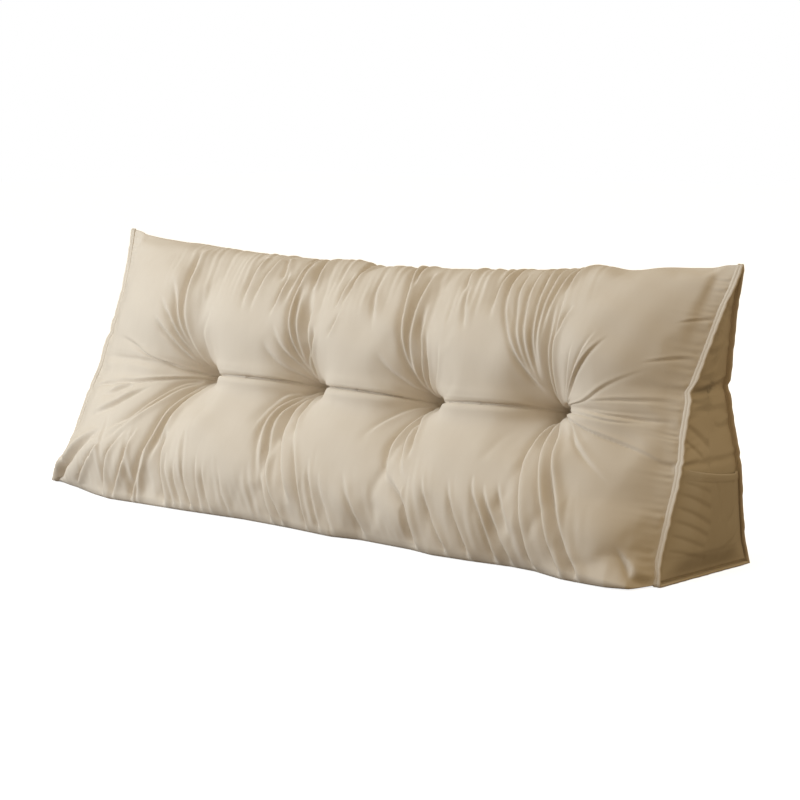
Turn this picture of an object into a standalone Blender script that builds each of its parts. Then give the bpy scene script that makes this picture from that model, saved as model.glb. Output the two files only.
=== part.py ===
# Backrest pillow: a long wedge cushion in velvet with four buttoned tufts along its leaning face,
# triangular end panels with a flat seam flange, and a slip pocket on the right end.
# Metres, +X along the length to the reader's right, -Y towards the reader, +Z up from the floor.

import math

import bpy
import numpy as np

# Driving dimensions: half the length to the end seams, and the shift that centres the whole box
SEAM_X = 0.7430
CENTRE_SHIFT = (-0.0025, 0.0221, 0.0)

# End triangle, as (y, z): the seam line lies inside the flange's tips
SEAM_FRONT = (-0.1310, 0.0030)
SEAM_BACK = (0.1270, 0.0030)
SEAM_TOP = (0.0955, 0.5020)
END_BLEND = 0.27
END_CROWN = 0.013
END_CROWN_REACH = 0.038
END_CENTRE = (0.020, 0.150)
END_RINGS = (0.05, 0.13, 0.25, 0.42, 0.66)

# Flange, pocket and buttons
FLANGE_WIDTH = 0.0090
FLANGE_THICKNESS = 0.0036
FLANGE_WAIST = 0.30
FLANGE_ROOT = 0.25
FLANGE_SLANT = (0.93, 0.36)
EARS = ((-2.40, 0.0), (0.45, 1.25), (1.70, 0.0))
PIECE_GAP = 0.0009
POCKET_GAP = 0.0024
FLOOR_GAP = 0.0008
POCKET_THICKNESS = 0.0020
POCKET_SLACK = 0.0125
POCKET_SIDE_RAMP = 0.26
POCKET_BOTTOM_RAMP = 0.24
POCKET_INSET = 0.0065
POCKET_HEM_FRONT_Z = 0.180
POCKET_HEM_BACK_Z = 0.158
POCKET_HEM_SAG = 0.004
BUTTON_RADIUS = 0.0062
BUTTON_THICKNESS = 0.0050
BUTTON_STANDOFF = 0.0174
BUTTON_TILT = math.radians(80.0)

# Middle section, once round from the front foot over the top to the back foot.
# name, y, z, edge of the end triangle it runs out to, share of that edge, rows up to the next station
STATIONS = (
    ("floor_front", -0.150, 0.000, "bottom", 0.95, 2),
    ("toe", -0.180, 0.017, "front", 0.00, 4),
    ("lower_belly", -0.188, 0.085, "front", 0.15, 4),
    ("lower_shoulder", -0.150, 0.162, "front", 0.31, 4),
    ("groove_lower", -0.098, 0.219, "front", 0.43, 6),
    ("groove", -0.059, 0.245, "front", 0.49, 6),
    ("groove_upper", -0.080, 0.271, "front", 0.545, 4),
    ("upper_belly", -0.072, 0.337, "front", 0.67, 4),
    ("upper_shoulder", -0.030, 0.405, "front", 0.82, 3),
    ("brow", 0.030, 0.452, "front", 0.93, 3),
    ("ridge", 0.088, 0.467, "front", 1.00, 3),
    ("nape", 0.137, 0.432, "back", 0.12, 2),
    ("back_upper", 0.156, 0.330, "back", 0.34, 2),
    ("back_middle", 0.158, 0.210, "back", 0.58, 1),
    ("back_low", 0.150, 0.085, "back", 0.83, 2),
    ("heel", 0.138, 0.012, "back", 1.00, 3),
    ("floor_back", 0.110, 0.000, "bottom", 0.08, 1),
    ("floor_middle", 0.000, 0.000, "bottom", 0.50, 2),
)
GROOVE = 5
RIDGE = 10
FRONT_LAST = 12
EAR_STATIONS = (1, 10, 15)

# How far the end seams are drawn in along the length, by height
# height, right end, left end
SEAM_DRAW = (
    (0.000, -0.004, -0.006),
    (0.040, 0.006, 0.005),
    (0.100, 0.009, 0.017),
    (0.150, 0.010, 0.018),
    (0.190, 0.013, 0.021),
    (0.230, 0.023, 0.028),
    (0.280, 0.029, 0.024),
    (0.300, 0.031, 0.025),
    (0.330, 0.027, 0.027),
    (0.380, 0.020, 0.023),
    (0.430, 0.014, 0.014),
    (0.465, 0.005, 0.005),
    (0.500, 0.000, -0.005),
)

# Line where the front of the wrap meets the floor
# x, y
FOOT_LINE = (
    (-0.743, -0.124),
    (-0.700, -0.128),
    (-0.640, -0.140),
    (-0.560, -0.166),
    (-0.500, -0.180),
    (-0.410, -0.174),
    (-0.300, -0.168),
    (-0.150, -0.154),
    (-0.030, -0.156),
    (0.080, -0.164),
    (0.140, -0.151),
    (0.260, -0.154),
    (0.320, -0.165),
    (0.400, -0.159),
    (0.480, -0.148),
    (0.530, -0.150),
    (0.600, -0.170),
    (0.690, -0.175),
    (0.725, -0.168),
    (0.743, -0.140),
)
FOOT_HEIGHT = 0.032

# The ridge rises towards the ends by this much on the left and on the right, reached at RIDGE_REACH
RIDGE_LIFT = (0.018, 0.026)
RIDGE_REACH = 0.55

# How quickly the section fills out from the end seams: on the face, and how much more at the foot
FILL_SHARPNESS = 2.5
FOOT_SHARPNESS = 3.0
FOOT_REACH = 0.12
DRAW_REACH = 0.30

# Tufts along the groove
# x, lift above the groove, depth
TUFTS = (
    (-0.387, -0.010, 0.116),
    (-0.104, 0.002, 0.114),
    (0.180, -0.004, 0.114),
    (0.463, 0.001, 0.114),
)
TUFT_CORE = 0.031
TUFT_CORE_SHARE = 0.62
TUFT_BOWL = 0.072
TUFT_ROUND = 0.008
TUFT_STRETCH = 1.15
TUFT_AIM = (0.975, -0.20)
VALLEY_WIDTH = 0.045

# Valley above and below each tuft
# girth from the toe, depth
VALLEY = (
    (0.00, 0.004),
    (0.05, 0.008),
    (0.15, 0.011),
    (0.22, 0.008),
    (0.28, 0.000),
    (0.33, 0.009),
    (0.42, 0.011),
    (0.50, 0.010),
    (0.58, 0.008),
    (0.65, 0.004),
    (0.72, 0.000),
)

# How far the filling pushes the channel out between the tufts and beyond the outer ones, how near a tuft
# this ends, and the girth that it is centred on, with its reach
CHANNEL_FILL = 0.025
OUTER_FILL = 0.0285
FILL_CLEAR = 0.038
FILL_GIRTH = 0.277
FILL_REACH = 0.030

# How far the folds and swellings beside each tuft are carried along x with it, and how far out that reaches
TUFT_CARRY = (0.032, 0.021, 0.017, 0.014)
CARRY_REACH = 0.08

# Soft swellings and sinkings of the filled body, outward positive
# x, girth, reach along x, reach along girth, height
SWELLS = (
    (0.660, 0.06, 0.075, 0.060, 0.010),
    (-0.500, 0.06, 0.110, 0.060, 0.008),
    (0.475, 0.60, 0.040, 0.090, 0.005),
    (0.545, 0.62, 0.040, 0.100, -0.008),
    (-0.105, 0.60, 0.035, 0.060, 0.005),
    (-0.030, 0.60, 0.030, 0.060, -0.004),
    (0.280, 0.40, 0.060, 0.080, 0.005),
    (-0.290, 0.40, 0.060, 0.080, 0.005),
    (0.010, 0.40, 0.060, 0.080, 0.004),
    (0.300, 0.15, 0.060, 0.070, 0.004),
    (-0.280, 0.15, 0.060, 0.070, 0.005),
    (0.000, 0.15, 0.060, 0.070, 0.003),
    (-0.272, 0.320, 0.085, 0.021, 0.007),
    (0.019, 0.320, 0.085, 0.021, 0.007),
    (0.306, 0.320, 0.085, 0.021, 0.007),
    (-0.272, 0.248, 0.085, 0.021, 0.004),
    (0.019, 0.248, 0.085, 0.021, 0.004),
    (0.306, 0.248, 0.085, 0.021, 0.004),
)

# Main folds of the leaning face, each a trough that runs out at both ends
# start x, start girth, end x, end girth, sideways bow, depth, half width
FOLDS = (
    (-0.437, 0.320, -0.482, 0.560, 0.006, 0.0090, 0.013),
    (-0.450, 0.330, -0.525, 0.460, 0.004, 0.0055, 0.012),
    (-0.455, 0.265, -0.690, 0.195, -0.010, 0.0060, 0.013),
    (-0.445, 0.245, -0.680, 0.020, 0.022, 0.0100, 0.015),
    (-0.425, 0.245, -0.385, 0.030, -0.006, 0.0080, 0.014),
    (-0.255, 0.620, -0.253, 0.430, 0.000, 0.0050, 0.012),
    (-0.110, 0.330, -0.145, 0.565, -0.016, 0.0090, 0.014),
    (-0.150, 0.355, -0.190, 0.560, -0.004, 0.0050, 0.012),
    (-0.028, 0.440, -0.030, 0.590, 0.005, 0.0080, 0.012),
    (-0.150, 0.250, -0.075, 0.020, 0.012, 0.0080, 0.014),
    (-0.130, 0.250, -0.010, 0.110, -0.018, 0.0060, 0.014),
    (0.165, 0.325, 0.070, 0.590, 0.008, 0.0100, 0.013),
    (0.205, 0.330, 0.165, 0.480, 0.006, 0.0055, 0.012),
    (0.215, 0.600, 0.230, 0.500, 0.000, 0.0060, 0.013),
    (0.160, 0.250, 0.262, 0.020, 0.014, 0.0085, 0.017),
    (0.185, 0.245, 0.265, 0.070, -0.010, 0.0055, 0.015),
    (0.485, 0.325, 0.450, 0.570, -0.010, 0.0085, 0.013),
    (0.515, 0.320, 0.592, 0.430, 0.004, 0.0070, 0.012),
    (0.525, 0.308, 0.685, 0.380, 0.000, 0.0055, 0.012),
    (0.440, 0.255, 0.530, 0.010, 0.016, 0.0095, 0.014),
    (0.470, 0.255, 0.605, 0.030, -0.014, 0.0080, 0.014),
    (0.490, 0.268, 0.640, 0.145, -0.004, 0.0060, 0.012),
    (0.605, 0.232, 0.740, 0.182, 0.004, 0.0050, 0.012),
)
FOLD_LIP = 0.35
FOLD_RUN_IN = (-0.02, 0.16)
FOLD_RUN_OUT = (0.62, 1.04)

# Where the relief calms down: from the end seams, at the foot and over the ridge
SEAM_CALM = 0.035
FOOT_CALM = (-0.02, 0.03)
RIDGE_CALM = (0.63, 0.72)

# Crease across each end panel: height at the front seam, height at the back seam, depth, half width
END_CREASES = (
    (0.297, 0.307, 0.009, 0.014),
    (0.190, 0.215, 0.004, 0.012),
)

# Columns crowd round each tuft, at these distances on both sides of it
TUFT_COLUMNS = (0.0, 0.006, 0.013, 0.022, 0.034)
BETWEEN_TUFTS = 11
END_COLUMNS = 12

CREAM = (0.800, 0.735, 0.630, 1.0)
CREAM_SHADE = (0.740, 0.665, 0.555, 1.0)
CREAM_BUTTON = (0.770, 0.700, 0.590, 1.0)
CREAM_POCKET = (0.780, 0.710, 0.600, 1.0)


def smooth(low, high, value):
    """Rises from 0 at low to 1 at high with no corner at either end."""
    t = np.clip((value - low) / (high - low), 0.0, 1.0)
    return t * t * (3.0 - 2.0 * t)


def lengthwise(first, second, share):
    """Point at this share of the way from the first point to the second."""
    return [first[axis] + (second[axis] - first[axis]) * share for axis in range(2)]


def end_station(edge, share):
    """Where a station runs out on the end triangle."""
    if edge == "front":
        return lengthwise(SEAM_FRONT, SEAM_TOP, share)
    if edge == "back":
        return lengthwise(SEAM_TOP, SEAM_BACK, share)
    return lengthwise(SEAM_BACK, SEAM_FRONT, share)


def closed_curve(points, s):
    """Smooth closed curve through the points; s counts points and wraps round."""
    count = len(points)
    i = np.floor(s).astype(int)
    t = (s - i)[..., None]
    before = points[(i - 1) % count]
    here = points[i % count]
    after = points[(i + 1) % count]
    later = points[(i + 2) % count]
    return 0.5 * (
        2.0 * here
        + (after - before) * t
        + (2.0 * before - 5.0 * here + 4.0 * after - later) * t**2
        + (3.0 * here - before - 3.0 * after + later) * t**3
    )


def closed_polygon(points, s):
    """Closed outline with straight edges through the points; s counts points and wraps round."""
    count = len(points)
    i = np.floor(s).astype(int)
    t = (s - i)[..., None]
    return points[i % count] * (1.0 - t) + points[(i + 1) % count] * t


def section_points():
    """The stations of the middle section and of the end triangle, as (y, z) rows."""
    middle = np.array([(row[1], row[2]) for row in STATIONS])
    end = np.array([end_station(row[3], row[4]) for row in STATIONS])
    return middle, end


def girth_scale():
    """Girth in metres up the middle section from the toe, against the station number."""
    middle, _ = section_points()
    s = np.linspace(1.0, FRONT_LAST + 1.0, 1201)
    points = closed_curve(middle, s)
    steps = np.linalg.norm(np.diff(points, axis=0), axis=1)
    return s, np.concatenate([[0.0], np.cumsum(steps)])


def girth_of(s):
    """Girth from the toe at each station number; below the toe it is slightly negative."""
    stations, girth = girth_scale()
    return np.where(s >= 1.0, np.interp(s, stations, girth), -0.035 * (1.0 - s))


def seam_draw(x, z):
    """Inward pull of the end seam along the length at each height, signed like x."""
    table = np.array(SEAM_DRAW)
    right = np.interp(z, table[:, 0], table[:, 1])
    left = np.interp(z, table[:, 0], table[:, 2])
    return np.where(x > 0.0, right, -left)


def ridge_lift(x):
    """The ridge rises towards each end, more on the right."""
    top = np.where(x < 0.0, RIDGE_LIFT[0], RIDGE_LIFT[1])
    return top * np.clip(np.abs(x) / RIDGE_REACH, 0.0, 1.0) ** 2


def tuft_pull(x, girth):
    """Depth of the buttoned cusps and of the valleys above and below them."""
    groove_girth = float(girth_of(np.array(float(GROOVE))))
    valley = np.array(VALLEY)
    pull = np.zeros_like(x)
    for tuft_x, lift, depth in TUFTS:
        across = x - tuft_x
        up = (girth - groove_girth - lift) / TUFT_STRETCH
        reach = np.sqrt(across**2 + up**2 + TUFT_ROUND**2)
        pull += TUFT_CORE_SHARE * depth * np.exp(-reach / TUFT_CORE)
        pull += (1.0 - TUFT_CORE_SHARE) * depth * np.exp(-((reach / TUFT_BOWL) ** 2))
        pull += np.interp(girth, valley[:, 0], valley[:, 1]) * np.exp(-((across / VALLEY_WIDTH) ** 2))
    return pull


def channel_fill(x, girth):
    """How far the filling pushes the channel out, between the tufts and beyond the outer ones."""
    nearest = np.min([np.abs(x - tuft[0]) for tuft in TUFTS], axis=0)
    between = (x > TUFTS[0][0]) & (x < TUFTS[-1][0])
    level = np.where(between, CHANNEL_FILL, OUTER_FILL) * (1.0 - np.exp(-((nearest / FILL_CLEAR) ** 2)))
    return level * np.exp(-(((girth - FILL_GIRTH) / FILL_REACH) ** 2)) * fullness(x, girth)


def carried(x, girth):
    """The x at which the relief is read: beside a tuft it sits further along by the tuft's carry."""
    back = np.zeros_like(x)
    for (tuft_x, _, _), carry in zip(TUFTS, TUFT_CARRY):
        away = ((x - tuft_x) ** 2 + (girth - FILL_GIRTH) ** 2) / CARRY_REACH**2
        back += carry * np.exp(-away)
    return x - back


def fold_profile(q):
    """Cross-section of a fold: a trough with a raised lip on its right side."""
    trough = np.exp(-(q**2))
    lip = np.exp(-(((q - 1.35) / 0.7) ** 2))
    return -trough + FOLD_LIP * lip


def fold_relief(x, girth):
    """Height of all the folds and swellings of the face at each point."""
    relief = np.zeros_like(x)
    for start_x, start_g, end_x, end_g, bow, depth, width in FOLDS:
        along_x = end_x - start_x
        along_g = end_g - start_g
        span = math.hypot(along_x, along_g)
        t = ((x - start_x) * along_x + (girth - start_g) * along_g) / span**2
        side = ((x - start_x) * along_g - (girth - start_g) * along_x) / span
        side = side * np.sign(along_g) - bow * 4.0 * t * (1.0 - t)
        strength = smooth(*FOLD_RUN_IN, t) * (1.0 - smooth(*FOLD_RUN_OUT, t))
        relief += depth * strength * fold_profile(side / width)
    for swell_x, swell_g, reach_x, reach_g, height in SWELLS:
        falloff = ((x - swell_x) / reach_x) ** 2 + ((girth - swell_g) / reach_g) ** 2
        relief += height * np.exp(-falloff)
    return relief


def outward_normals(points):
    """Unit normals of a grid of points, columns along x and rows round the section."""
    along = np.gradient(points, axis=0)
    padded = np.concatenate([points[:, -1:], points, points[:, :1]], axis=1)
    around = 0.5 * (padded[:, 2:] - padded[:, :-2])
    normal = np.cross(along, around)
    return normal / np.maximum(np.linalg.norm(normal, axis=2, keepdims=True), 1e-9)


def fullness(x, girth):
    """Share of the full middle section at each place: 0 at the end seams, 1 well inside them."""
    sharpness = FILL_SHARPNESS + FOOT_SHARPNESS * (1.0 - smooth(0.0, FOOT_REACH, np.abs(girth)))
    inset = SEAM_X - np.abs(x)
    return 1.0 - np.clip(1.0 - inset / END_BLEND, 0.0, 1.0) ** sharpness


def foot_step(x):
    """How far the foot of the wrap moves in y to lie on its line on the floor."""
    line = np.array(FOOT_LINE)
    middle, end = section_points()
    share = fullness(x, float(girth_of(np.array(0.0))))
    lofted = end[0, 0] * (1.0 - share) + middle[0, 0] * share
    near_seam = smooth(0.0, 0.015, SEAM_X - np.abs(x))
    return (np.interp(x, line[:, 0], line[:, 1]) - lofted) * near_seam


def body_surface(x, s):
    """Grid of points on the filled body: each row of x by each station number s."""
    middle, end = section_points()
    grid_x, grid_s = np.meshgrid(x, s, indexing="ij")
    inset = SEAM_X - np.abs(grid_x)
    girth = girth_of(grid_s)
    crown = closed_curve(middle, grid_s)
    crown[..., 1] *= 1.0 + ridge_lift(grid_x) / STATIONS[RIDGE][2]
    straight = closed_polygon(end, grid_s)
    share = fullness(grid_x, girth)[..., None]
    yz = straight * (1.0 - share) + crown * share
    near_end = 1.0 - smooth(0.0, DRAW_REACH, inset)
    drawn_x = grid_x - seam_draw(grid_x, straight[..., 1]) * near_end
    under = grid_s > len(STATIONS) - 1.0
    low = np.exp(-((yz[..., 1] / FOOT_HEIGHT) ** 2))
    low *= np.where(under, grid_s % 1.0, 1.0)
    yz[..., 0] += np.where((grid_s < GROOVE) | under, foot_step(grid_x) * low, 0.0)
    face = (grid_s >= 0.5) & (grid_s < FRONT_LAST)
    pull = np.where(face, tuft_pull(grid_x, girth) - channel_fill(grid_x, girth), 0.0)
    yz += pull[..., None] * np.array(TUFT_AIM)
    points = np.stack([drawn_x, yz[..., 0], yz[..., 1]], axis=-1)
    calm = smooth(0.0, SEAM_CALM, inset) * smooth(*FOOT_CALM, girth) * (1.0 - smooth(*RIDGE_CALM, girth))
    relief = np.where(face, fold_relief(carried(grid_x, girth), girth) * calm, 0.0)
    points += outward_normals(points) * relief[..., None]
    points[..., 2] = np.maximum(points[..., 2], 0.0)
    return points


def row_stations():
    """Station numbers of the rows, with the number of rows each station asks for."""
    rows = []
    for number, station in enumerate(STATIONS):
        rows += [number + step / station[5] for step in range(station[5])]
    return np.array(rows)


def column_places():
    """Places of the columns along x, close together round each tuft."""
    reach = TUFT_COLUMNS[-1]
    places = []
    for tuft_x, _, _ in TUFTS:
        places += [tuft_x + step for step in TUFT_COLUMNS]
        places += [tuft_x - step for step in TUFT_COLUMNS[1:]]
    for left, right in zip(TUFTS[:-1], TUFTS[1:]):
        places += list(np.linspace(left[0] + reach, right[0] - reach, BETWEEN_TUFTS + 2)[1:-1])
    places += list(np.linspace(-SEAM_X, TUFTS[0][0] - reach, END_COLUMNS + 1)[:-1])
    places += list(np.linspace(TUFTS[-1][0] + reach, SEAM_X, END_COLUMNS + 1)[1:])
    return np.array(sorted(places))


def edge_distance(y, z):
    """Soft distance from a point of the end panel to the nearest seam."""
    corners = (SEAM_FRONT, SEAM_TOP, SEAM_BACK)
    total = np.zeros_like(y)
    for start, stop in zip(corners, corners[1:] + corners[:1]):
        run = math.hypot(stop[0] - start[0], stop[1] - start[1])
        cross = (stop[0] - start[0]) * (z - start[1]) - (stop[1] - start[1]) * (y - start[0])
        total += 1.0 / np.maximum(-cross / run, 1e-5) ** 3
    return total ** (-1.0 / 3.0)


def end_panel_x(y, z, side):
    """Place along x of the crowned end panel at each (y, z)."""
    crown = END_CROWN * (1.0 - np.exp(-edge_distance(y, z) / END_CROWN_REACH))
    crease = np.zeros_like(y)
    share = np.clip((y - SEAM_FRONT[0]) / (SEAM_BACK[0] - SEAM_FRONT[0]), 0.0, 1.0)
    for front_z, back_z, depth, width in END_CREASES:
        height = front_z + (back_z - front_z) * share
        crease += depth * np.exp(-(((z - height) / width) ** 2))
    crease *= smooth(0.0, 0.02, edge_distance(y, z))
    return side * (SEAM_X + crown - crease) - seam_draw(np.full_like(y, side), z)


def cap_rings(seam, side):
    """Rings of the end panel from the seam inwards, then its centre point."""
    centre = np.array([END_CENTRE[0], END_CENTRE[1]])
    flat = seam[:, 1:]
    rings = []
    for share in END_RINGS + (1.0,):
        yz = flat * (1.0 - share) + centre * share
        x = end_panel_x(yz[:, 0], yz[:, 1], side)
        rings.append(np.column_stack([x, yz[:, 0], yz[:, 1]]))
    return rings[:-1], rings[-1][:1]


def cushion_mesh():
    """Vertices and faces of the filled body: the wrap panel and both end panels."""
    grid = body_surface(column_places(), row_stations())
    columns, rows = grid.shape[:2]
    points = [grid.reshape(-1, 3)]
    i, j = np.meshgrid(np.arange(columns - 1), np.arange(rows), indexing="ij")
    ahead = (j + 1) % rows
    quads = np.stack([i * rows + j, (i + 1) * rows + j, (i + 1) * rows + ahead, i * rows + ahead], -1)
    faces = quads.reshape(-1, 4).tolist()
    total = columns * rows
    for side, column in ((-1.0, 0), (1.0, columns - 1)):
        rings, centre = cap_rings(grid[column], side)
        inner = np.arange(rows) + column * rows
        for ring in rings:
            outer = np.arange(rows) + total
            points.append(ring)
            total += rows
            faces += ring_faces(inner, outer, side)
            inner = outer
        points.append(centre)
        faces += fan_faces(inner, total, side)
        total += 1
    return np.concatenate(points), faces


def ring_faces(first, second, side):
    """Quads between two rings, wound so that they face outward on that side."""
    first_next = np.roll(first, -1)
    second_next = np.roll(second, -1)
    quads = np.stack([first, first_next, second_next, second], -1)
    if side > 0.0:
        quads = quads[:, ::-1]
    return quads.tolist()


def fan_faces(ring, centre, side):
    """Triangles from a ring to one centre point."""
    following = np.roll(ring, -1)
    fan = np.stack([ring, following, np.full_like(ring, centre)], -1)
    if side > 0.0:
        fan = fan[:, ::-1]
    return fan.tolist()


def outline_normal(edge_start, edge_stop):
    """Outward normal in the end plane of one edge of the end triangle."""
    run_y = edge_stop[0] - edge_start[0]
    run_z = edge_stop[1] - edge_start[1]
    length = math.hypot(run_y, run_z)
    return np.array([-run_z / length, run_y / length])


def flange_path(side):
    """Seam points round the end of the body and, at each, the way the flange stands out."""
    stations = row_stations()
    ends = body_surface(np.array([-SEAM_X, SEAM_X]), stations)
    seam = ends[1] if side > 0.0 else ends[0]
    toe, ridge, heel = EAR_STATIONS
    reach = np.zeros((len(stations), 2))
    reach[(stations > toe) & (stations < ridge)] = outline_normal(SEAM_FRONT, SEAM_TOP)
    reach[(stations > ridge) & (stations < heel)] = outline_normal(SEAM_TOP, SEAM_BACK)
    for corner, ear in zip(EAR_STATIONS, EARS):
        reach[stations == corner] = ear
    out = np.column_stack([np.full(len(seam), side * FLANGE_SLANT[0]), reach * FLANGE_SLANT[1]])
    return seam, out


def flange_mesh(side):
    """A flat welt swept once round the end seam, standing out from it at a slant."""
    path, out = flange_path(side)
    step = np.roll(path, -1, axis=0) - path
    step /= np.linalg.norm(step, axis=1, keepdims=True)
    along = step + np.roll(step, 1, axis=0)
    across = np.cross(along, out)
    across /= np.linalg.norm(across, axis=1, keepdims=True)
    half = 0.5 * FLANGE_THICKNESS * across
    inner = path + out * PIECE_GAP
    waist = path + out * FLANGE_WIDTH * FLANGE_WAIST
    outer = path + out * FLANGE_WIDTH
    root = half * FLANGE_ROOT
    section = [inner - root, waist - half, outer - half, outer + half, waist + half, inner + root]
    corners = np.stack(section, axis=1)
    corners[..., 2] = np.maximum(corners[..., 2], FLOOR_GAP)
    sides = len(section)
    k, edge = np.meshgrid(np.arange(len(path)), np.arange(sides), indexing="ij")
    following = (k + 1) % len(path)
    turn = (edge + 1) % sides
    quads = [k * sides + edge, k * sides + turn, following * sides + turn, following * sides + edge]
    faces = np.stack(quads, -1).reshape(-1, 4)
    return corners.reshape(-1, 3), faces.tolist()


def pocket_hem_z(share):
    """Height of the pocket's hem: lower at the back, with a slight sag between."""
    level = POCKET_HEM_FRONT_Z + (POCKET_HEM_BACK_Z - POCKET_HEM_FRONT_Z) * share
    return level - POCKET_HEM_SAG * 4.0 * share * (1.0 - share)


def pocket_mesh():
    """The slip pocket: a sheet over the lower part of the right end panel, open at the top."""
    across = np.linspace(0.0, 1.0, 21)
    up = np.linspace(0.0, 1.0, 15)
    grid_u, grid_v = np.meshgrid(across, up, indexing="ij")
    bottom = SEAM_FRONT[1] + POCKET_INSET
    z = bottom + (pocket_hem_z(grid_u) - bottom) * grid_v
    rise = (z - SEAM_FRONT[1]) / (SEAM_TOP[1] - SEAM_FRONT[1])
    front_y = SEAM_FRONT[0] + (SEAM_TOP[0] - SEAM_FRONT[0]) * rise + POCKET_INSET
    back_y = SEAM_BACK[0] + (SEAM_TOP[0] - SEAM_BACK[0]) * rise - POCKET_INSET
    y = front_y + (back_y - front_y) * grid_u
    sides = smooth(0.0, POCKET_SIDE_RAMP, grid_u) * smooth(0.0, POCKET_SIDE_RAMP, 1.0 - grid_u)
    slack = POCKET_SLACK * sides * smooth(0.0, POCKET_BOTTOM_RAMP, grid_v)
    inner_x = end_panel_x(y, z, 1.0) + POCKET_GAP + slack
    inner = np.stack([inner_x, y, z], axis=-1)
    outer = inner + np.array([POCKET_THICKNESS, 0.0, 0.0])
    columns, rows = y.shape
    points = np.concatenate([inner.reshape(-1, 3), outer.reshape(-1, 3)])
    i, j = np.meshgrid(np.arange(columns - 1), np.arange(rows - 1), indexing="ij")
    quads = np.stack([i * rows + j, i * rows + j + 1, (i + 1) * rows + j + 1, (i + 1) * rows + j], -1)
    quads = quads.reshape(-1, 4)
    layer = columns * rows
    faces = quads.tolist() + (quads[:, ::-1] + layer).tolist()
    rim = [i * rows for i in range(columns)]
    rim += [(columns - 1) * rows + j for j in range(1, rows)]
    rim += [i * rows + rows - 1 for i in range(columns - 2, -1, -1)]
    rim += [j for j in range(rows - 2, 0, -1)]
    for first, second in zip(rim, rim[1:] + rim[:1]):
        faces.append((first, second, second + layer, first + layer))
    return points, faces


def fabric(name, colour):
    """Plain velvet colour for one sub-part."""
    material = bpy.data.materials.new(name)
    material.use_nodes = True
    shader = material.node_tree.nodes["Principled BSDF"]
    shader.inputs["Base Color"].default_value = colour
    shader.inputs["Roughness"].default_value = 0.85
    shader.inputs["Metallic"].default_value = 0.0
    return material


def add_piece(name, points, faces, colour, collection):
    """One named object from vertices and faces, shaded smooth."""
    mesh = bpy.data.meshes.new(name)
    placed = points + np.array(CENTRE_SHIFT)
    mesh.from_pydata([tuple(p) for p in placed.tolist()], [], [tuple(f) for f in faces])
    mesh.validate()
    mesh.update()
    mesh.polygons.foreach_set("use_smooth", [True] * len(mesh.polygons))
    piece = bpy.data.objects.new(name, mesh)
    piece.data.materials.append(fabric(name + "_velvet", colour))
    collection.objects.link(piece)
    return piece


def tuft_floor(tuft):
    """Deepest point of a tuft, found on the body's own surface."""
    stations = np.linspace(GROOVE - 0.6, GROOVE + 0.6, 121)
    line = body_surface(np.array([tuft[0] - 0.001, tuft[0], tuft[0] + 0.001]), stations)[1]
    return line[np.argmax(line[:, 1])]


def add_button(name, tuft, collection):
    """A small covered button resting in the bottom of a tuft."""
    bpy.ops.mesh.primitive_uv_sphere_add(segments=16, ring_count=8, radius=1.0)
    button = bpy.context.active_object
    button.name = name
    button.data.name = name
    floor = tuft_floor(tuft)
    scale = (BUTTON_RADIUS, BUTTON_RADIUS, BUTTON_THICKNESS / 2.0)
    for vertex in button.data.vertices:
        x, y, z = (vertex.co[axis] * scale[axis] for axis in range(3))
        turned_y = y * math.cos(BUTTON_TILT) - z * math.sin(BUTTON_TILT)
        turned_z = y * math.sin(BUTTON_TILT) + z * math.cos(BUTTON_TILT)
        vertex.co = (
            x + floor[0] + CENTRE_SHIFT[0],
            turned_y + floor[1] + CENTRE_SHIFT[1] - BUTTON_STANDOFF,
            turned_z + floor[2] + CENTRE_SHIFT[2],
        )
    for polygon in button.data.polygons:
        polygon.use_smooth = True
    button.data.materials.append(fabric(name + "_velvet", CREAM_BUTTON))
    for owner in list(button.users_collection):
        owner.objects.unlink(button)
    collection.objects.link(button)
    return button


def clear_scene():
    """Removes what the file opens with."""
    for thing in list(bpy.data.objects):
        bpy.data.objects.remove(thing, do_unlink=True)


def main():
    clear_scene()
    collection = bpy.data.collections.new("backrest_pillow")
    bpy.context.scene.collection.children.link(collection)
    points, faces = cushion_mesh()
    add_piece("cushion", points, faces, CREAM, collection)
    for name, side in (("seam_flange_left", -1.0), ("seam_flange_right", 1.0)):
        points, faces = flange_mesh(side)
        add_piece(name, points, faces, CREAM_SHADE, collection)
    points, faces = pocket_mesh()
    add_piece("pocket", points, faces, CREAM_POCKET, collection)
    for number, tuft in enumerate(TUFTS, start=1):
        add_button(f"button_{number}", tuft, collection)


main()
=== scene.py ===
# Backrest pillow, dressed: a long wedge cushion in cream velvet with four buttoned tufts, flat seam flanges
# round its triangular ends and a slip pocket on the right one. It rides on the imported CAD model.
# Metres, +X along the length to the reader's right, -Y towards the reader, +Z up from the floor.

import math

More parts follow.
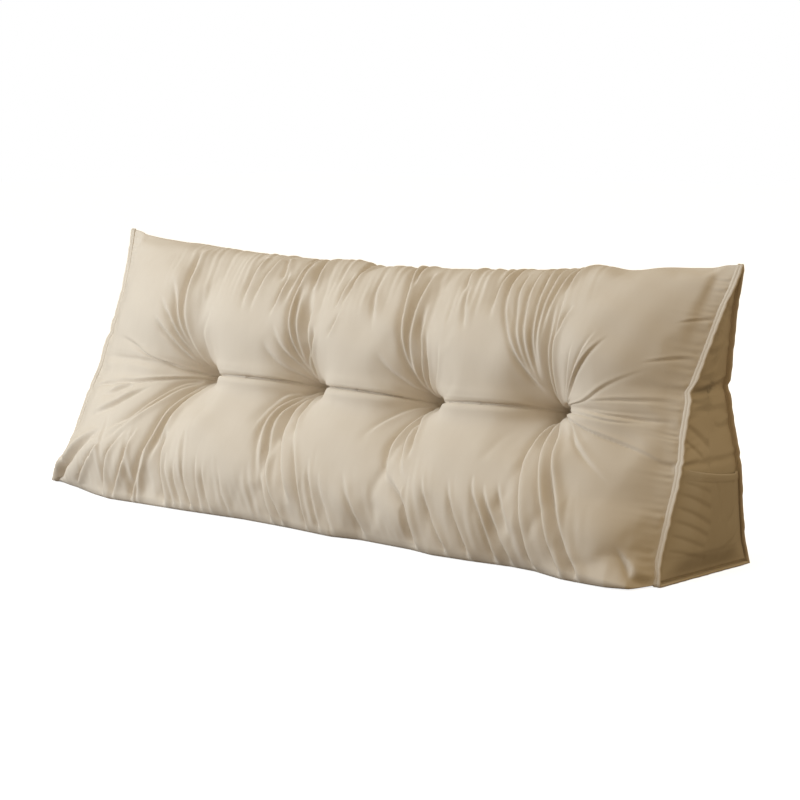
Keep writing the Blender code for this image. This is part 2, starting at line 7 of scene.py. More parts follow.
import bpy
import numpy as np
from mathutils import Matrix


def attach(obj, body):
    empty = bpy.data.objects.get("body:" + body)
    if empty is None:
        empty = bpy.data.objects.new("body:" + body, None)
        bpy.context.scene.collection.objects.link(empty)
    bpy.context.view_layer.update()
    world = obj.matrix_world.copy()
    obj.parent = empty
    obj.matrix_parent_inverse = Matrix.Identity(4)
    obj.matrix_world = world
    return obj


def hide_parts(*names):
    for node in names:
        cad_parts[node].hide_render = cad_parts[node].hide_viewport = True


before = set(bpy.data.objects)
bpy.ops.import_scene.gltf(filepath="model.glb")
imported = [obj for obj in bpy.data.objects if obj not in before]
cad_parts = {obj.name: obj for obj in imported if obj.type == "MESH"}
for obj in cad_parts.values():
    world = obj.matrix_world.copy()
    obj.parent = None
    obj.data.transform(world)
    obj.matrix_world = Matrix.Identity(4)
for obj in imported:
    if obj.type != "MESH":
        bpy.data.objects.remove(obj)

bl_info = {
    "name": "Backrest pillow",
    "version": (1, 0, 0),
    "blender": (4, 5, 0),
    "location": "3D View > Sidebar > Pillow",
    "description": "Builds a tufted wedge backrest pillow round its packed CAD model",
    "category": "Add Mesh",
}

BODY = "root"

# Half the length to the end seams, and the shift that centres the whole box, as in the CAD model
SEAM_X = 0.7430
CENTRE_SHIFT = np.array([-0.0025, 0.0221, 0.0])

# Corners of the end triangle, as (y, z), and how far in from the end seams the section fills out
SEAM_FRONT = (-0.1310, 0.0030)
SEAM_BACK = (0.1270, 0.0030)
SEAM_TOP = (0.0955, 0.5020)
END_BLEND = 0.27

# End panels: crown and how far in from the seams it is full, middle of the rings of points, share of the
# folds' depth that shows, height of the puckers at the seams
END_CROWN = 0.013
END_CROWN_REACH = 0.038
END_CENTRE = np.array([0.020, 0.150])
END_RINGS = 44
PANEL_FOLD_SHARE = 0.45
PANEL_PUCKER = 0.0013

# Flanges: how they slant out along x and in the panel's plane, and the ears at toe, ridge and heel, (y, z)
FLANGE_SLANT = (1.00, -0.04)
EAR_REACH = 0.008
EARS = ((-2.40, 0.0), (0.45, 1.25), (1.70, 0.0))
FLOOR_GAP = 0.0008

# Pocket: how far it stands off the panel, its slack and its hem
POCKET_GAP = 0.0024
POCKET_SLACK = 0.0125
POCKET_INSET = 0.0065
# Share of the body's velvet colours kept on the pocket: painted shade, as its cloth faces a little downward
POCKET_PAINTED_SHADE = 0.88
POCKET_FOLD_SHARE = 0.25
POCKET_CLOTH = 0.0012
POCKET_HEM_FRONT_Z = 0.180
POCKET_HEM_BACK_Z = 0.158
POCKET_HEM_SAG = 0.004

# Buttons and stitches
BUTTON_STANDOFF = 0.0050
# Shares of the brushed velvet colour kept on the buttons: painted shade, as they sit deep in the tufts' pits
BUTTON_PAINTED_SHADE = (0.55, 0.46, 0.38)
BUTTON_TILT = math.radians(80.0)
STITCH_LENGTH = 0.0030
STITCH_RADIUS = 0.00034

# Middle section, once round from the front foot over the top to the back foot.
# y, z, edge of the end triangle it runs out to, share of that edge
STATIONS = (
    (-0.150, 0.000, "bottom", 0.95),
    (-0.180, 0.017, "front", 0.00),
    (-0.188, 0.085, "front", 0.15),
    (-0.150, 0.162, "front", 0.31),
    (-0.098, 0.219, "front", 0.43),
    (-0.059, 0.245, "front", 0.49),
    (-0.080, 0.271, "front", 0.545),
    (-0.072, 0.337, "front", 0.67),
    (-0.030, 0.405, "front", 0.82),
    (0.030, 0.452, "front", 0.93),
    (0.088, 0.467, "front", 1.00),
    (0.137, 0.432, "back", 0.12),
    (0.156, 0.330, "back", 0.34),
    (0.158, 0.210, "back", 0.58),
    (0.150, 0.085, "back", 0.83),
    (0.138, 0.012, "back", 1.00),
    (0.110, 0.000, "bottom", 0.08),
    (0.000, 0.000, "bottom", 0.50),
)
GROOVE = 5
RIDGE = 10
FRONT_LAST = 12
CORNER_STATIONS = (1.0, 10.0, 15.0)

# How far the end seams are drawn in along the length, by height
# height, right end, left end
SEAM_DRAW = (
    (0.000, -0.004, -0.006),
    (0.040, 0.006, 0.005),
    (0.100, 0.009, 0.017),
    (0.150, 0.010, 0.018),
    (0.190, 0.013, 0.021),
    (0.230, 0.023, 0.028),
    (0.280, 0.029, 0.024),
    (0.300, 0.031, 0.025),
    (0.330, 0.027, 0.027),
    (0.380, 0.020, 0.023),
    (0.430, 0.014, 0.014),
    (0.465, 0.005, 0.005),
    (0.500, 0.000, -0.005),
)

# Line where the front of the wrap meets the floor
# x, y
FOOT_LINE = (
    (-0.743, -0.124),
    (-0.700, -0.128),
    (-0.640, -0.140),
    (-0.560, -0.166),
    (-0.500, -0.180),
    (-0.410, -0.174),
    (-0.300, -0.168),
    (-0.150, -0.154),
    (-0.030, -0.156),
    (0.080, -0.164),
    (0.140, -0.151),
    (0.260, -0.154),
    (0.320, -0.165),
    (0.400, -0.159),
    (0.480, -0.148),
    (0.530, -0.150),
    (0.600, -0.170),
    (0.690, -0.175),
    (0.725, -0.168),
    (0.743, -0.140),
)
FOOT_HEIGHT = 0.032

# The ridge rises towards the ends by this much on the left and on the right, reached at RIDGE_REACH
RIDGE_LIFT = (0.018, 0.026)
RIDGE_REACH = 0.55

# How quickly the section fills out from the end seams: on the face, and how much more at the foot
FILL_SHARPNESS = 2.5
FOOT_SHARPNESS = 3.0
FOOT_REACH = 0.12
DRAW_REACH = 0.30

# Small pinches of the end seams, where a crease and the pocket's hem meet them
# height, depth, half width
SEAM_NOTCHES = (
    (0.297, 0.0045, 0.0085),
    (0.183, 0.0022, 0.0060),
)

# Tufts along the groove
# x, lift above the groove, depth
TUFTS = (
    (-0.387, -0.010, 0.116),
    (-0.104, 0.002, 0.114),
    (0.180, -0.004, 0.114),
    (0.463, 0.001, 0.114),
)
TUFT_CORE = 0.020
TUFT_BOWL = 0.070
TUFT_ROUND = 0.008
TUFT_STRETCH = 1.15
TUFT_AIM = np.array([0.975, -0.20])
CORE_SHARE = 0.62
VALLEY_WIDTH = 0.045

# Valley above and below each tuft
# girth from the toe, depth
VALLEY = (
    (0.00, 0.004),
    (0.05, 0.008),
    (0.15, 0.011),
    (0.22, 0.008),
    (0.28, 0.000),
    (0.33, 0.009),
    (0.42, 0.011),
    (0.50, 0.010),
    (0.58, 0.008),
    (0.65, 0.004),
    (0.72, 0.000),
)

# How far the filling pushes the channel out between the tufts and beyond the outer ones, how near a place
# just to the right of each tuft this ends, and the girth that it is centred on, with its reach
CHANNEL_FILL = 0.025
OUTER_FILL = 0.0285
FILL_CLEAR = 0.033
FILL_SHIFT = 0.014
FILL_GIRTH = 0.277
FILL_REACH = 0.030

# Both sides of the channel close up on its crease: as shares of the filling, how near a tuft this ends, how
# soon beside the crease they start, and their reach
UPPER_LIP = 0.40
LOWER_LIP = 0.30
LIP_CLEAR = 0.050
LIP_START = 0.0032
LIP_REACH = 0.026

# How far the folds and swellings beside each tuft are carried along x with it, and how far out that reaches
TUFT_CARRY = (0.032, 0.021, 0.017, 0.014)
CARRY_REACH = 0.08

# Soft swellings and sinkings of the filled body, outward positive
# x, girth, reach along x, reach along girth, height
SWELLS = (
    (0.660, 0.06, 0.075, 0.060, 0.010),
    (-0.500, 0.06, 0.110, 0.060, 0.008),
    (0.475, 0.60, 0.040, 0.090, 0.005),
    (0.545, 0.62, 0.040, 0.100, -0.008),
    (-0.105, 0.60, 0.035, 0.060, 0.005),
    (-0.030, 0.60, 0.030, 0.060, -0.004),
    (0.280, 0.40, 0.060, 0.080, 0.005),
    (-0.290, 0.40, 0.060, 0.080, 0.005),
    (0.010, 0.40, 0.060, 0.080, 0.004),
    (0.300, 0.15, 0.060, 0.070, 0.004),
    (-0.280, 0.15, 0.060, 0.070, 0.005),
    (0.000, 0.15, 0.060, 0.070, 0.003),
    (-0.272, 0.325, 0.085, 0.030, 0.004),
    (0.019, 0.325, 0.085, 0.030, 0.004),
    (0.306, 0.325, 0.085, 0.030, 0.004),
    (-0.272, 0.245, 0.085, 0.025, 0.003),
    (0.019, 0.245, 0.085, 0.025, 0.003),
    (0.306, 0.245, 0.085, 0.025, 0.003),
)

# Folds of the leaning face. Each runs through four places on the panel, as (x, girth from the toe).
# places, depth, half width, raised lip as a share of the depth
FOLDS = (
    # upwards from the first tuft
    (((-0.426, 0.325), (-0.436, 0.385), (-0.459, 0.465), (-0.484, 0.560)), 0.0085, 0.0110, 0.45),
    (((-0.424, 0.365), (-0.440, 0.430), (-0.456, 0.485), (-0.470, 0.545)), 0.0050, 0.0080, 0.45),
    (((-0.432, 0.330), (-0.449, 0.385), (-0.470, 0.430), (-0.500, 0.470)), 0.0065, 0.0080, 0.50),
    (((-0.440, 0.335), (-0.460, 0.375), (-0.482, 0.400), (-0.515, 0.428)), 0.0045, 0.0075, 0.50),
    (((-0.446, 0.320), (-0.466, 0.348), (-0.488, 0.366), (-0.515, 0.385)), 0.0050, 0.0080, 0.50),
    (((-0.400, 0.330), (-0.390, 0.370), (-0.372, 0.400), (-0.368, 0.430)), 0.0018, 0.0120, 0.40),
    (((-0.462, 0.280), (-0.505, 0.300), (-0.570, 0.325), (-0.655, 0.336)), 0.0045, 0.0055, 0.35),
    # down and to the left of it
    (((-0.436, 0.262), (-0.500, 0.232), (-0.590, 0.218), (-0.725, 0.219)), 0.0050, 0.0060, 0.40),
    (((-0.545, 0.224), (-0.600, 0.215), (-0.650, 0.211), (-0.705, 0.193)), 0.0040, 0.0055, 0.40),
    (((-0.510, 0.226), (-0.546, 0.212), (-0.586, 0.195), (-0.632, 0.178)), 0.0045, 0.0070, 0.40),
    (((-0.480, 0.222), (-0.520, 0.192), (-0.575, 0.158), (-0.655, 0.128)), 0.0045, 0.0090, 0.40),
    (((-0.450, 0.236), (-0.464, 0.190), (-0.500, 0.142), (-0.560, 0.110)), 0.0090, 0.0100, 0.50),
    (((-0.545, 0.117), (-0.600, 0.090), (-0.655, 0.050), (-0.704, 0.005)), 0.0100, 0.0140, 0.50),
    (((-0.442, 0.228), (-0.452, 0.185), (-0.490, 0.136), (-0.540, 0.090)), 0.0065, 0.0085, 0.50),
    (((-0.535, 0.095), (-0.565, 0.070), (-0.590, 0.040), (-0.612, 0.005)), 0.0070, 0.0110, 0.55),
    (((-0.542, 0.090), (-0.552, 0.081), (-0.563, 0.069), (-0.566, 0.054)), 0.0045, 0.0060, 0.60),
    (((-0.472, 0.130), (-0.500, 0.096), (-0.516, 0.060), (-0.520, 0.000)), 0.0060, 0.0095, 0.55),
    (((-0.452, 0.140), (-0.462, 0.095), (-0.470, 0.050), (-0.488, 0.000)), 0.0050, 0.0085, 0.60),
    # straight down from the first tuft
    (((-0.428, 0.250), (-0.421, 0.180), (-0.419, 0.110), (-0.438, 0.005)), 0.0080, 0.0090, 0.55),
    (((-0.418, 0.252), (-0.407, 0.195), (-0.399, 0.120), (-0.404, 0.055)), 0.0090, 0.0105, 0.45),
    (((-0.412, 0.100), (-0.417, 0.070), (-0.424, 0.040), (-0.424, 0.000)), 0.0045, 0.0075, 0.60),
    (((-0.392, 0.150), (-0.377, 0.110), (-0.373, 0.070), (-0.352, -0.005)), 0.0070, 0.0130, 0.50),
    (((-0.352, 0.100), (-0.350, 0.060), (-0.338, 0.030), (-0.322, -0.005)), 0.0032, 0.0080, 0.50),
    (((-0.328, 0.095), (-0.328, 0.060), (-0.320, 0.030), (-0.302, -0.005)), 0.0028, 0.0080, 0.50),
    (((-0.303, 0.095), (-0.300, 0.060), (-0.292, 0.030), (-0.276, -0.005)), 0.0042, 0.0085, 0.65),
    (((-0.270, 0.110), (-0.267, 0.070), (-0.262, 0.040), (-0.252, 0.000)), 0.0025, 0.0080, 0.50),
    (((-0.250, 0.090), (-0.247, 0.060), (-0.240, 0.030), (-0.228, 0.000)), 0.0028, 0.0080, 0.50),
    (((-0.205, 0.080), (-0.200, 0.055), (-0.195, 0.030), (-0.182, 0.000)), 0.0018, 0.0090, 0.40),
    # between the first two tufts, near the ridge
    (((-0.269, 0.640), (-0.267, 0.560), (-0.261, 0.480), (-0.247, 0.405)), 0.0075, 0.0085, 0.55),
    (((-0.303, 0.560), (-0.300, 0.515), (-0.288, 0.465), (-0.268, 0.405)), 0.0038, 0.0090, 0.45),
    (((-0.246, 0.560), (-0.236, 0.540), (-0.226, 0.520), (-0.216, 0.490)), 0.0060, 0.0085, 0.50),
    (((-0.214, 0.530), (-0.204, 0.495), (-0.198, 0.455), (-0.200, 0.410)), 0.0050, 0.0070, 0.60),
    (((-0.196, 0.600), (-0.190, 0.540), (-0.182, 0.480), (-0.166, 0.420)), 0.0040, 0.0080, 0.50),
    (((-0.186, 0.600), (-0.180, 0.550), (-0.176, 0.510), (-0.166, 0.470)), 0.0032, 0.0070, 0.50),
    # upwards from the second tuft
    (((-0.131, 0.318), (-0.147, 0.380), (-0.162, 0.455), (-0.178, 0.560)), 0.0080, 0.0080, 0.60),
    (((-0.124, 0.338), (-0.106, 0.372), (-0.113, 0.425), (-0.136, 0.480)), 0.0090, 0.0120, 0.55),
    (((-0.128, 0.470), (-0.135, 0.500), (-0.144, 0.530), (-0.158, 0.580)), 0.0090, 0.0110, 0.50),
    (((-0.102, 0.350), (-0.091, 0.368), (-0.085, 0.388), (-0.090, 0.412)), 0.0060, 0.0070, 0.60),
    (((-0.130, 0.345), (-0.134, 0.390), (-0.146, 0.450), (-0.156, 0.510)), 0.0050, 0.0070, 0.55),
    (((-0.140, 0.325), (-0.158, 0.350), (-0.172, 0.375), (-0.190, 0.410)), 0.0028, 0.0080, 0.40),
    (((-0.145, 0.308), (-0.168, 0.325), (-0.188, 0.345), (-0.205, 0.372)), 0.0026, 0.0080, 0.40),
    (((-0.025, 0.440), (-0.033, 0.490), (-0.045, 0.540), (-0.054, 0.610)), 0.0100, 0.0090, 0.45),
    (((-0.040, 0.440), (-0.046, 0.470), (-0.054, 0.510), (-0.060, 0.550)), 0.0035, 0.0080, 0.45),
    (((-0.026, 0.445), (-0.028, 0.420), (-0.034, 0.400), (-0.044, 0.380)), 0.0028, 0.0080, 0.40),
    # downwards from the second tuft
    (((-0.142, 0.262), (-0.155, 0.215), (-0.141, 0.150), (-0.098, 0.040)), 0.0085, 0.0090, 0.55),
    (((-0.136, 0.262), (-0.138, 0.200), (-0.112, 0.135), (-0.052, 0.015)), 0.0080, 0.0090, 0.55),
    (((-0.118, 0.248), (-0.090, 0.212), (-0.064, 0.178), (-0.034, 0.145)), 0.0070, 0.0075, 0.55),
    (((-0.126, 0.228), (-0.102, 0.180), (-0.070, 0.130), (-0.020, 0.030)), 0.0060, 0.0105, 0.50),
    (((-0.060, 0.175), (-0.030, 0.130), (-0.005, 0.080), (0.020, 0.000)), 0.0050, 0.0090, 0.50),
    (((-0.110, 0.095), (-0.098, 0.060), (-0.088, 0.030), (-0.075, -0.005)), 0.0045, 0.0100, 0.50),
    (((-0.160, 0.250), (-0.165, 0.215), (-0.163, 0.180), (-0.160, 0.140)), 0.0020, 0.0090, 0.40),
    (((0.010, 0.130), (0.024, 0.090), (0.038, 0.050), (0.054, 0.000)), 0.0030, 0.0100, 0.50),
    # upwards from the third tuft
    (((0.156, 0.300), (0.136, 0.385), (0.106, 0.490), (0.062, 0.590)), 0.0110, 0.0095, 0.55),
    (((0.118, 0.495), (0.108, 0.520), (0.098, 0.545), (0.090, 0.580)), 0.0065, 0.0080, 0.50),
    (((0.153, 0.335), (0.149, 0.400), (0.140, 0.470), (0.128, 0.560)), 0.0050, 0.0075, 0.50),
    (((0.163, 0.330), (0.176, 0.375), (0.168, 0.425), (0.158, 0.480)), 0.0060, 0.0075, 0.60),
    (((0.176, 0.325), (0.190, 0.355), (0.189, 0.390), (0.182, 0.430)), 0.0040, 0.0075, 0.50),
    (((0.205, 0.330), (0.222, 0.350), (0.228, 0.375), (0.226, 0.410)), 0.0020, 0.0100, 0.40),
    (((0.140, 0.312), (0.122, 0.330), (0.106, 0.345), (0.088, 0.370)), 0.0024, 0.0080, 0.40),
    (((0.210, 0.620), (0.213, 0.560), (0.222, 0.525), (0.240, 0.490)), 0.0085, 0.0100, 0.55),
    (((0.238, 0.520), (0.252, 0.480), (0.270, 0.445), (0.286, 0.410)), 0.0034, 0.0085, 0.45),
    (((0.300, 0.620), (0.303, 0.545), (0.314, 0.485), (0.334, 0.430)), 0.0065, 0.0085, 0.55),
    (((0.318, 0.590), (0.328, 0.535), (0.344, 0.480), (0.368, 0.425)), 0.0045, 0.0080, 0.50),
    (((0.018, 0.540), (0.030, 0.490), (0.050, 0.450), (0.074, 0.400)), 0.0036, 0.0095, 0.45),
    # downwards from the third tuft
    (((0.158, 0.252), (0.163, 0.200), (0.180, 0.135), (0.222, 0.078)), 0.0080, 0.0085, 0.60),
    (((0.164, 0.250), (0.188, 0.200), (0.212, 0.155), (0.246, 0.100)), 0.0085, 0.0085, 0.60),
    (((0.180, 0.225), (0.206, 0.202), (0.226, 0.172), (0.240, 0.135)), 0.0055, 0.0075, 0.50),
    (((0.196, 0.115), (0.226, 0.090), (0.258, 0.060), (0.278, 0.000)), 0.0095, 0.0140, 0.50),
    (((0.140, 0.258), (0.126, 0.232), (0.116, 0.205), (0.108, 0.175)), 0.0018, 0.0080, 0.40),
    (((0.096, 0.115), (0.118, 0.070), (0.136, 0.035), (0.152, -0.005)), 0.0040, 0.0120, 0.45),
    (((0.045, 0.110), (0.056, 0.070), (0.070, 0.035), (0.085, 0.000)), 0.0022, 0.0100, 0.45),
    (((0.285, 0.130), (0.302, 0.085), (0.322, 0.045), (0.350, 0.000)), 0.0045, 0.0085, 0.55),
    # upwards from the fourth tuft
    (((0.451, 0.310), (0.457, 0.370), (0.456, 0.430), (0.446, 0.500)), 0.0075, 0.0070, 0.45),
    (((0.462, 0.320), (0.470, 0.375), (0.467, 0.440), (0.452, 0.520)), 0.0090, 0.0080, 0.65),
    (((0.458, 0.480), (0.450, 0.520), (0.447, 0.565), (0.452, 0.620)), 0.0085, 0.0100, 0.55),
    (((0.474, 0.400), (0.480, 0.425), (0.483, 0.450), (0.494, 0.478)), 0.0030, 0.0065, 0.50),
    (((0.430, 0.600), (0.434, 0.530), (0.440, 0.460), (0.446, 0.360)), 0.0026, 0.0050, 0.50),
    (((0.410, 0.600), (0.418, 0.530), (0.430, 0.450), (0.442, 0.345)), 0.0026, 0.0050, 0.50),
    (((0.391, 0.600), (0.402, 0.520), (0.422, 0.435), (0.439, 0.335)), 0.0032, 0.0055, 0.50),
    (((0.371, 0.580), (0.384, 0.500), (0.408, 0.420), (0.434, 0.332)), 0.0026, 0.0055, 0.45),
    (((0.348, 0.560), (0.366, 0.490), (0.396, 0.415), (0.428, 0.340)), 0.0024, 0.0055, 0.45),
    (((0.320, 0.560), (0.342, 0.480), (0.384, 0.405), (0.438, 0.318)), 0.0036, 0.0060, 0.45),
    (((0.492, 0.305), (0.527, 0.350), (0.550, 0.390), (0.568, 0.430)), 0.0024, 0.0045, 0.50),
    (((0.496, 0.302), (0.540, 0.350), (0.570, 0.388), (0.598, 0.420)), 0.0026, 0.0045, 0.50),
    (((0.486, 0.308), (0.505, 0.340), (0.518, 0.375), (0.526, 0.410)), 0.0020, 0.0050, 0.40),
    (((0.470, 0.303), (0.490, 0.303), (0.510, 0.305), (0.528, 0.311)), 0.0018, 0.0040, 0.40),
    (((0.490, 0.292), (0.552, 0.300), (0.612, 0.335), (0.690, 0.374)), 0.0018, 0.0040, 0.50),
    # level creases to the right of it
    (((0.560, 0.305), (0.620, 0.314), (0.680, 0.318), (0.748, 0.322)), 0.0018, 0.0036, 0.35),
    (((0.560, 0.283), (0.620, 0.278), (0.690, 0.279), (0.748, 0.282)), 0.0018, 0.0036, 0.35),
    (((0.490, 0.279), (0.560, 0.273), (0.635, 0.265), (0.706, 0.276)), 0.0020, 0.0036, 0.35),
    (((0.520, 0.262), (0.590, 0.235), (0.670, 0.215), (0.748, 0.181)), 0.0032, 0.0042, 0.35),
    (((0.480, 0.272), (0.530, 0.250), (0.575, 0.205), (0.664, 0.133)), 0.0044, 0.0062, 0.45),
    (((0.660, 0.378), (0.690, 0.386), (0.720, 0.393), (0.748, 0.396)), 0.0014, 0.0040, 0.35),
    (((0.690, 0.450), (0.710, 0.457), (0.730, 0.462), (0.748, 0.462)), 0.0014, 0.0040, 0.35),
    # downwards from the fourth tuft
    (((0.447, 0.260), (0.461, 0.190), (0.490, 0.118), (0.534, 0.000)), 0.0105, 0.0110, 0.55),
    (((0.456, 0.256), (0.492, 0.200), (0.526, 0.135), (0.592, 0.005)), 0.0090, 0.0095, 0.55),
    (((0.472, 0.254), (0.520, 0.208), (0.552, 0.140), (0.628, 0.005)), 0.0090, 0.0100, 0.55),
    (((0.455, 0.245), (0.463, 0.215), (0.470, 0.190), (0.480, 0.160)), 0.0050, 0.0060, 0.60),
    (((0.540, 0.150), (0.565, 0.115), (0.590, 0.075), (0.610, 0.040)), 0.0040, 0.0080, 0.50),
    (((0.341, 0.125), (0.356, 0.090), (0.372, 0.055), (0.396, 0.005)), 0.0045, 0.0085, 0.55),
    (((0.388, 0.140), (0.402, 0.100), (0.426, 0.060), (0.448, 0.005)), 0.0050, 0.0085, 0.60),
    (((0.414, 0.125), (0.431, 0.090), (0.452, 0.055), (0.478, 0.010)), 0.0045, 0.0085, 0.55),
    (((0.440, 0.130), (0.456, 0.095), (0.474, 0.065), (0.490, 0.035)), 0.0034, 0.0080, 0.50),
    (((0.688, 0.050), (0.708, 0.028), (0.722, 0.014), (0.738, 0.000)), 0.0035, 0.0070, 0.55),
)

# Crease that joins the tufts along the channel: sharp, with both sides full
# x, girth from the toe, depth
CHANNEL = (
    (-0.743, 0.2805, 0.0000),
    (-0.640, 0.2805, 0.0000),
    (-0.480, 0.2775, 0.0000),
    (-0.387, 0.2735, 0.0030),
    (-0.310, 0.2780, 0.0030),
    (-0.200, 0.2820, 0.0030),
    (-0.104, 0.2830, 0.0030),
    (-0.020, 0.2835, 0.0030),
    (0.080, 0.2815, 0.0030),
    (0.180, 0.2770, 0.0030),
    (0.280, 0.2785, 0.0030),
    (0.380, 0.2805, 0.0030),
    (0.463, 0.2815, 0.0030),
    (0.530, 0.2810, 0.0000),
    (0.640, 0.2805, 0.0000),
    (0.743, 0.2805, 0.0000),
)
CREASE_SHARP = 0.0022

# Folds of an end panel, at (share of the way from the front seam to the back seam, height)
# places, depth, half width, lip
PANEL_FOLDS = (
    (((-0.05, 0.299), (0.30, 0.296), (0.70, 0.302), (1.05, 0.311)), 0.0060, 0.0090, 0.40),
    (((0.00, 0.322), (0.30, 0.317), (0.60, 0.318), (1.00, 0.322)), 0.0022, 0.0070, 0.40),
    (((-0.05, 0.424), (0.30, 0.425), (0.70, 0.422), (1.05, 0.419)), 0.0022, 0.0050, 0.40),
    (((0.15, 0.396), (0.45, 0.390), (0.75, 0.391), (1.05, 0.395)), 0.0018, 0.0060, 0.40),
    (((-0.05, 0.368), (0.20, 0.361), (0.45, 0.362), (0.75, 0.368)), 0.0025, 0.0070, 0.40),
    (((-0.05, 0.343), (0.15, 0.338), (0.35, 0.341), (0.60, 0.347)), 0.0022, 0.0070, 0.40),
    (((-0.05, 0.283), (0.25, 0.279), (0.55, 0.280), (0.90, 0.286)), 0.0025, 0.0070, 0.40),
    (((-0.05, 0.262), (0.30, 0.268), (0.65, 0.265), (1.05, 0.261)), 0.0030, 0.0080, 0.40),
    (((-0.02, 0.246), (0.15, 0.238), (0.30, 0.224), (0.48, 0.204)), 0.0030, 0.0085, 0.40),
    (((-0.02, 0.226), (0.10, 0.217), (0.22, 0.205), (0.34, 0.190)), 0.0024, 0.0070, 0.40),
    (((0.55, 0.242), (0.70, 0.236), (0.85, 0.236), (1.05, 0.241)), 0.0020, 0.0070, 0.40),
    (((0.10, 0.020), (0.25, 0.034), (0.45, 0.040), (0.70, 0.036)), 0.0020, 0.0100, 0.40),
)

# Soft folds of the pocket's cloth, in the same measure
POCKET_FOLDS = (
    (((-0.05, 0.162), (0.12, 0.155), (0.25, 0.146), (0.40, 0.134)), 0.0020, 0.0070, 0.45),
    (((-0.05, 0.144), (0.12, 0.136), (0.26, 0.124), (0.44, 0.108)), 0.0028, 0.0080, 0.45),
    (((-0.05, 0.124), (0.12, 0.115), (0.28, 0.100), (0.46, 0.082)), 0.0030, 0.0080, 0.45),
    (((-0.05, 0.103), (0.12, 0.094), (0.28, 0.080), (0.44, 0.064)), 0.0028, 0.0080, 0.45),
    (((-0.05, 0.080), (0.12, 0.072), (0.26, 0.060), (0.42, 0.047)), 0.0024, 0.0080, 0.45),
    (((-0.05, 0.055), (0.15, 0.048), (0.30, 0.038), (0.48, 0.028)), 0.0022, 0.0080, 0.45),
    (((0.30, 0.172), (0.45, 0.150), (0.52, 0.120), (0.55, 0.080)), 0.0016, 0.0100, 0.40),
    (((1.05, 0.120), (0.90, 0.112), (0.78, 0.098), (0.66, 0.080)), 0.0018, 0.0090, 0.40),
    (((1.05, 0.070), (0.88, 0.062), (0.74, 0.048), (0.60, 0.034)), 0.0018, 0.0090, 0.40),
)

# Spacing of the wrap's grid: columns, then rows on the face, the back and the underside, and how near the
# channel's crease the rows close up
COLUMNS = 821
FACE_STEP = 0.0023
BACK_STEP = 0.0075
FLOOR_STEP = 0.0100
CLOSE_ROWS = 0.0075

# Settling of the cloth: frames, the longest move, the share of it that is kept, the spans of detail that are
# kept, and where the cloth is held: at the end seams, near the floor and round the buttons
SETTLE_FRAMES = 20
SETTLE_REACH = 0.012
WRINKLE_SHARE = 0.6
NOISE_SPAN = 0.010
DETAIL_SPAN = 0.055
SEAM_HOLD = 0.030
FLOOR_HOLD = (0.004, 0.030)
BUTTON_HOLD = (0.010, 0.030)

# Folds: scale of the tables' depths, the deepest as a share of the width, how strongly the deepest counts
# where folds meet, width at the start and its growth along the run, and the share lost over the ridge
FOLD_SCALE = 1.7
STEEPEST = 1.15
MEETING = 2.5
START_WIDTH = 0.60
WIDTH_GROWTH = 0.60
RIDGE_CALM = 0.55

# A fold that begins within TUFT_HOLD of a tuft is drawn into it by that share of the way. One that reaches
# the foot or the ridge is carried on over it. Held ends are at full depth over a short share of the run.
TUFT_HOLD = 0.075
INTO_TUFT = 0.62
FOOT_EDGE = 0.03
RIDGE_EDGE = 0.56
OVER_RIDGE = 0.08
HELD_RUN = 0.10
FREE_RUN = 0.42

# Pits under the buttons, and heights of the small ripples
PIT_DEPTH = 0.0070
PIT_RADIUS = 0.0090
FOOT_RIPPLE = 0.0010
CREST_RIPPLE = 0.0008
SEAM_PUCKER = 0.0008
BROAD_WAVES = 0.0007

# Light and camera, set to the photograph's view
CAMERA_PLACE = (2.76527, -2.94875, 0.77052)
CAMERA_TURN = (math.pi / 2.0 - 0.134523, 0.0, 0.735073)
CAMERA_LENS = 100.0
CAMERA_SENSOR = 36.0
FLOOR_REACH = 14.0
COOL = (0.80, 0.90, 1.0)
WARM = (1.0, 0.80, 0.52)
AIM = (0.0, 0.0, 0.25)

# name, place, aim, size, power as a share of the key light's, colour
LAMPS = (
    ("key_light", (-2.5, -2.1, 0.7), AIM, (1.1, 1.1), 1.0, COOL),
    ("front_light", (-1.2, -3.0, 1.2), AIM, (1.4, 1.4), 1.28, COOL),
    ("high_light", (-2.0, -1.8, 2.4), AIM, (1.4, 1.4), 0.59, COOL),
    ("top_light", (-0.4, -0.8, 3.2), AIM, (2.4, 1.6), 0.54, COOL),
    ("end_light", (1.55, 0.15, 0.95), (0.75, 0.0, 0.3), (0.4, 0.4), 0.02, WARM),
)


def smooth(low, high, value):
    """Rises from 0 at low to 1 at high with no corner at either end."""
    t = np.clip((value - low) / (high - low), 0.0, 1.0)
    return t * t * (3.0 - 2.0 * t)


def end_station(edge, share):
    """Where a station runs out on the end triangle."""
    edges = {
        "front": (SEAM_FRONT, SEAM_TOP),
        "back": (SEAM_TOP, SEAM_BACK),
        "bottom": (SEAM_BACK, SEAM_FRONT),
    }
    first, second = (np.array(corner) for corner in edges[edge])
    return first + (second - first) * share


def closed_curve(points, s):
    """Smooth closed curve through the points; s counts points and wraps round."""
    count = len(points)
    i = np.floor(s).astype(int)
    t = (s - i)[..., None]
    before = points[(i - 1) % count]
    here = points[i % count]
    after = points[(i + 1) % count]
    later = points[(i + 2) % count]
    return 0.5 * (
        2.0 * here
        + (after - before) * t
        + (2.0 * before - 5.0 * here + 4.0 * after - later) * t**2
        + (3.0 * here - before - 3.0 * after + later) * t**3
    )


def closed_polygon(points, s):
    """Closed outline with straight edges through the points; s counts points and wraps round."""
    count = len(points)
    i = np.floor(s).astype(int)
    t = (s - i)[..., None]
    return points[i % count] * (1.0 - t) + points[(i + 1) % count] * t


MIDDLE_SECTION = np.array([row[:2] for row in STATIONS])
END_SECTION = np.array([end_station(row[2], row[3]) for row in STATIONS])


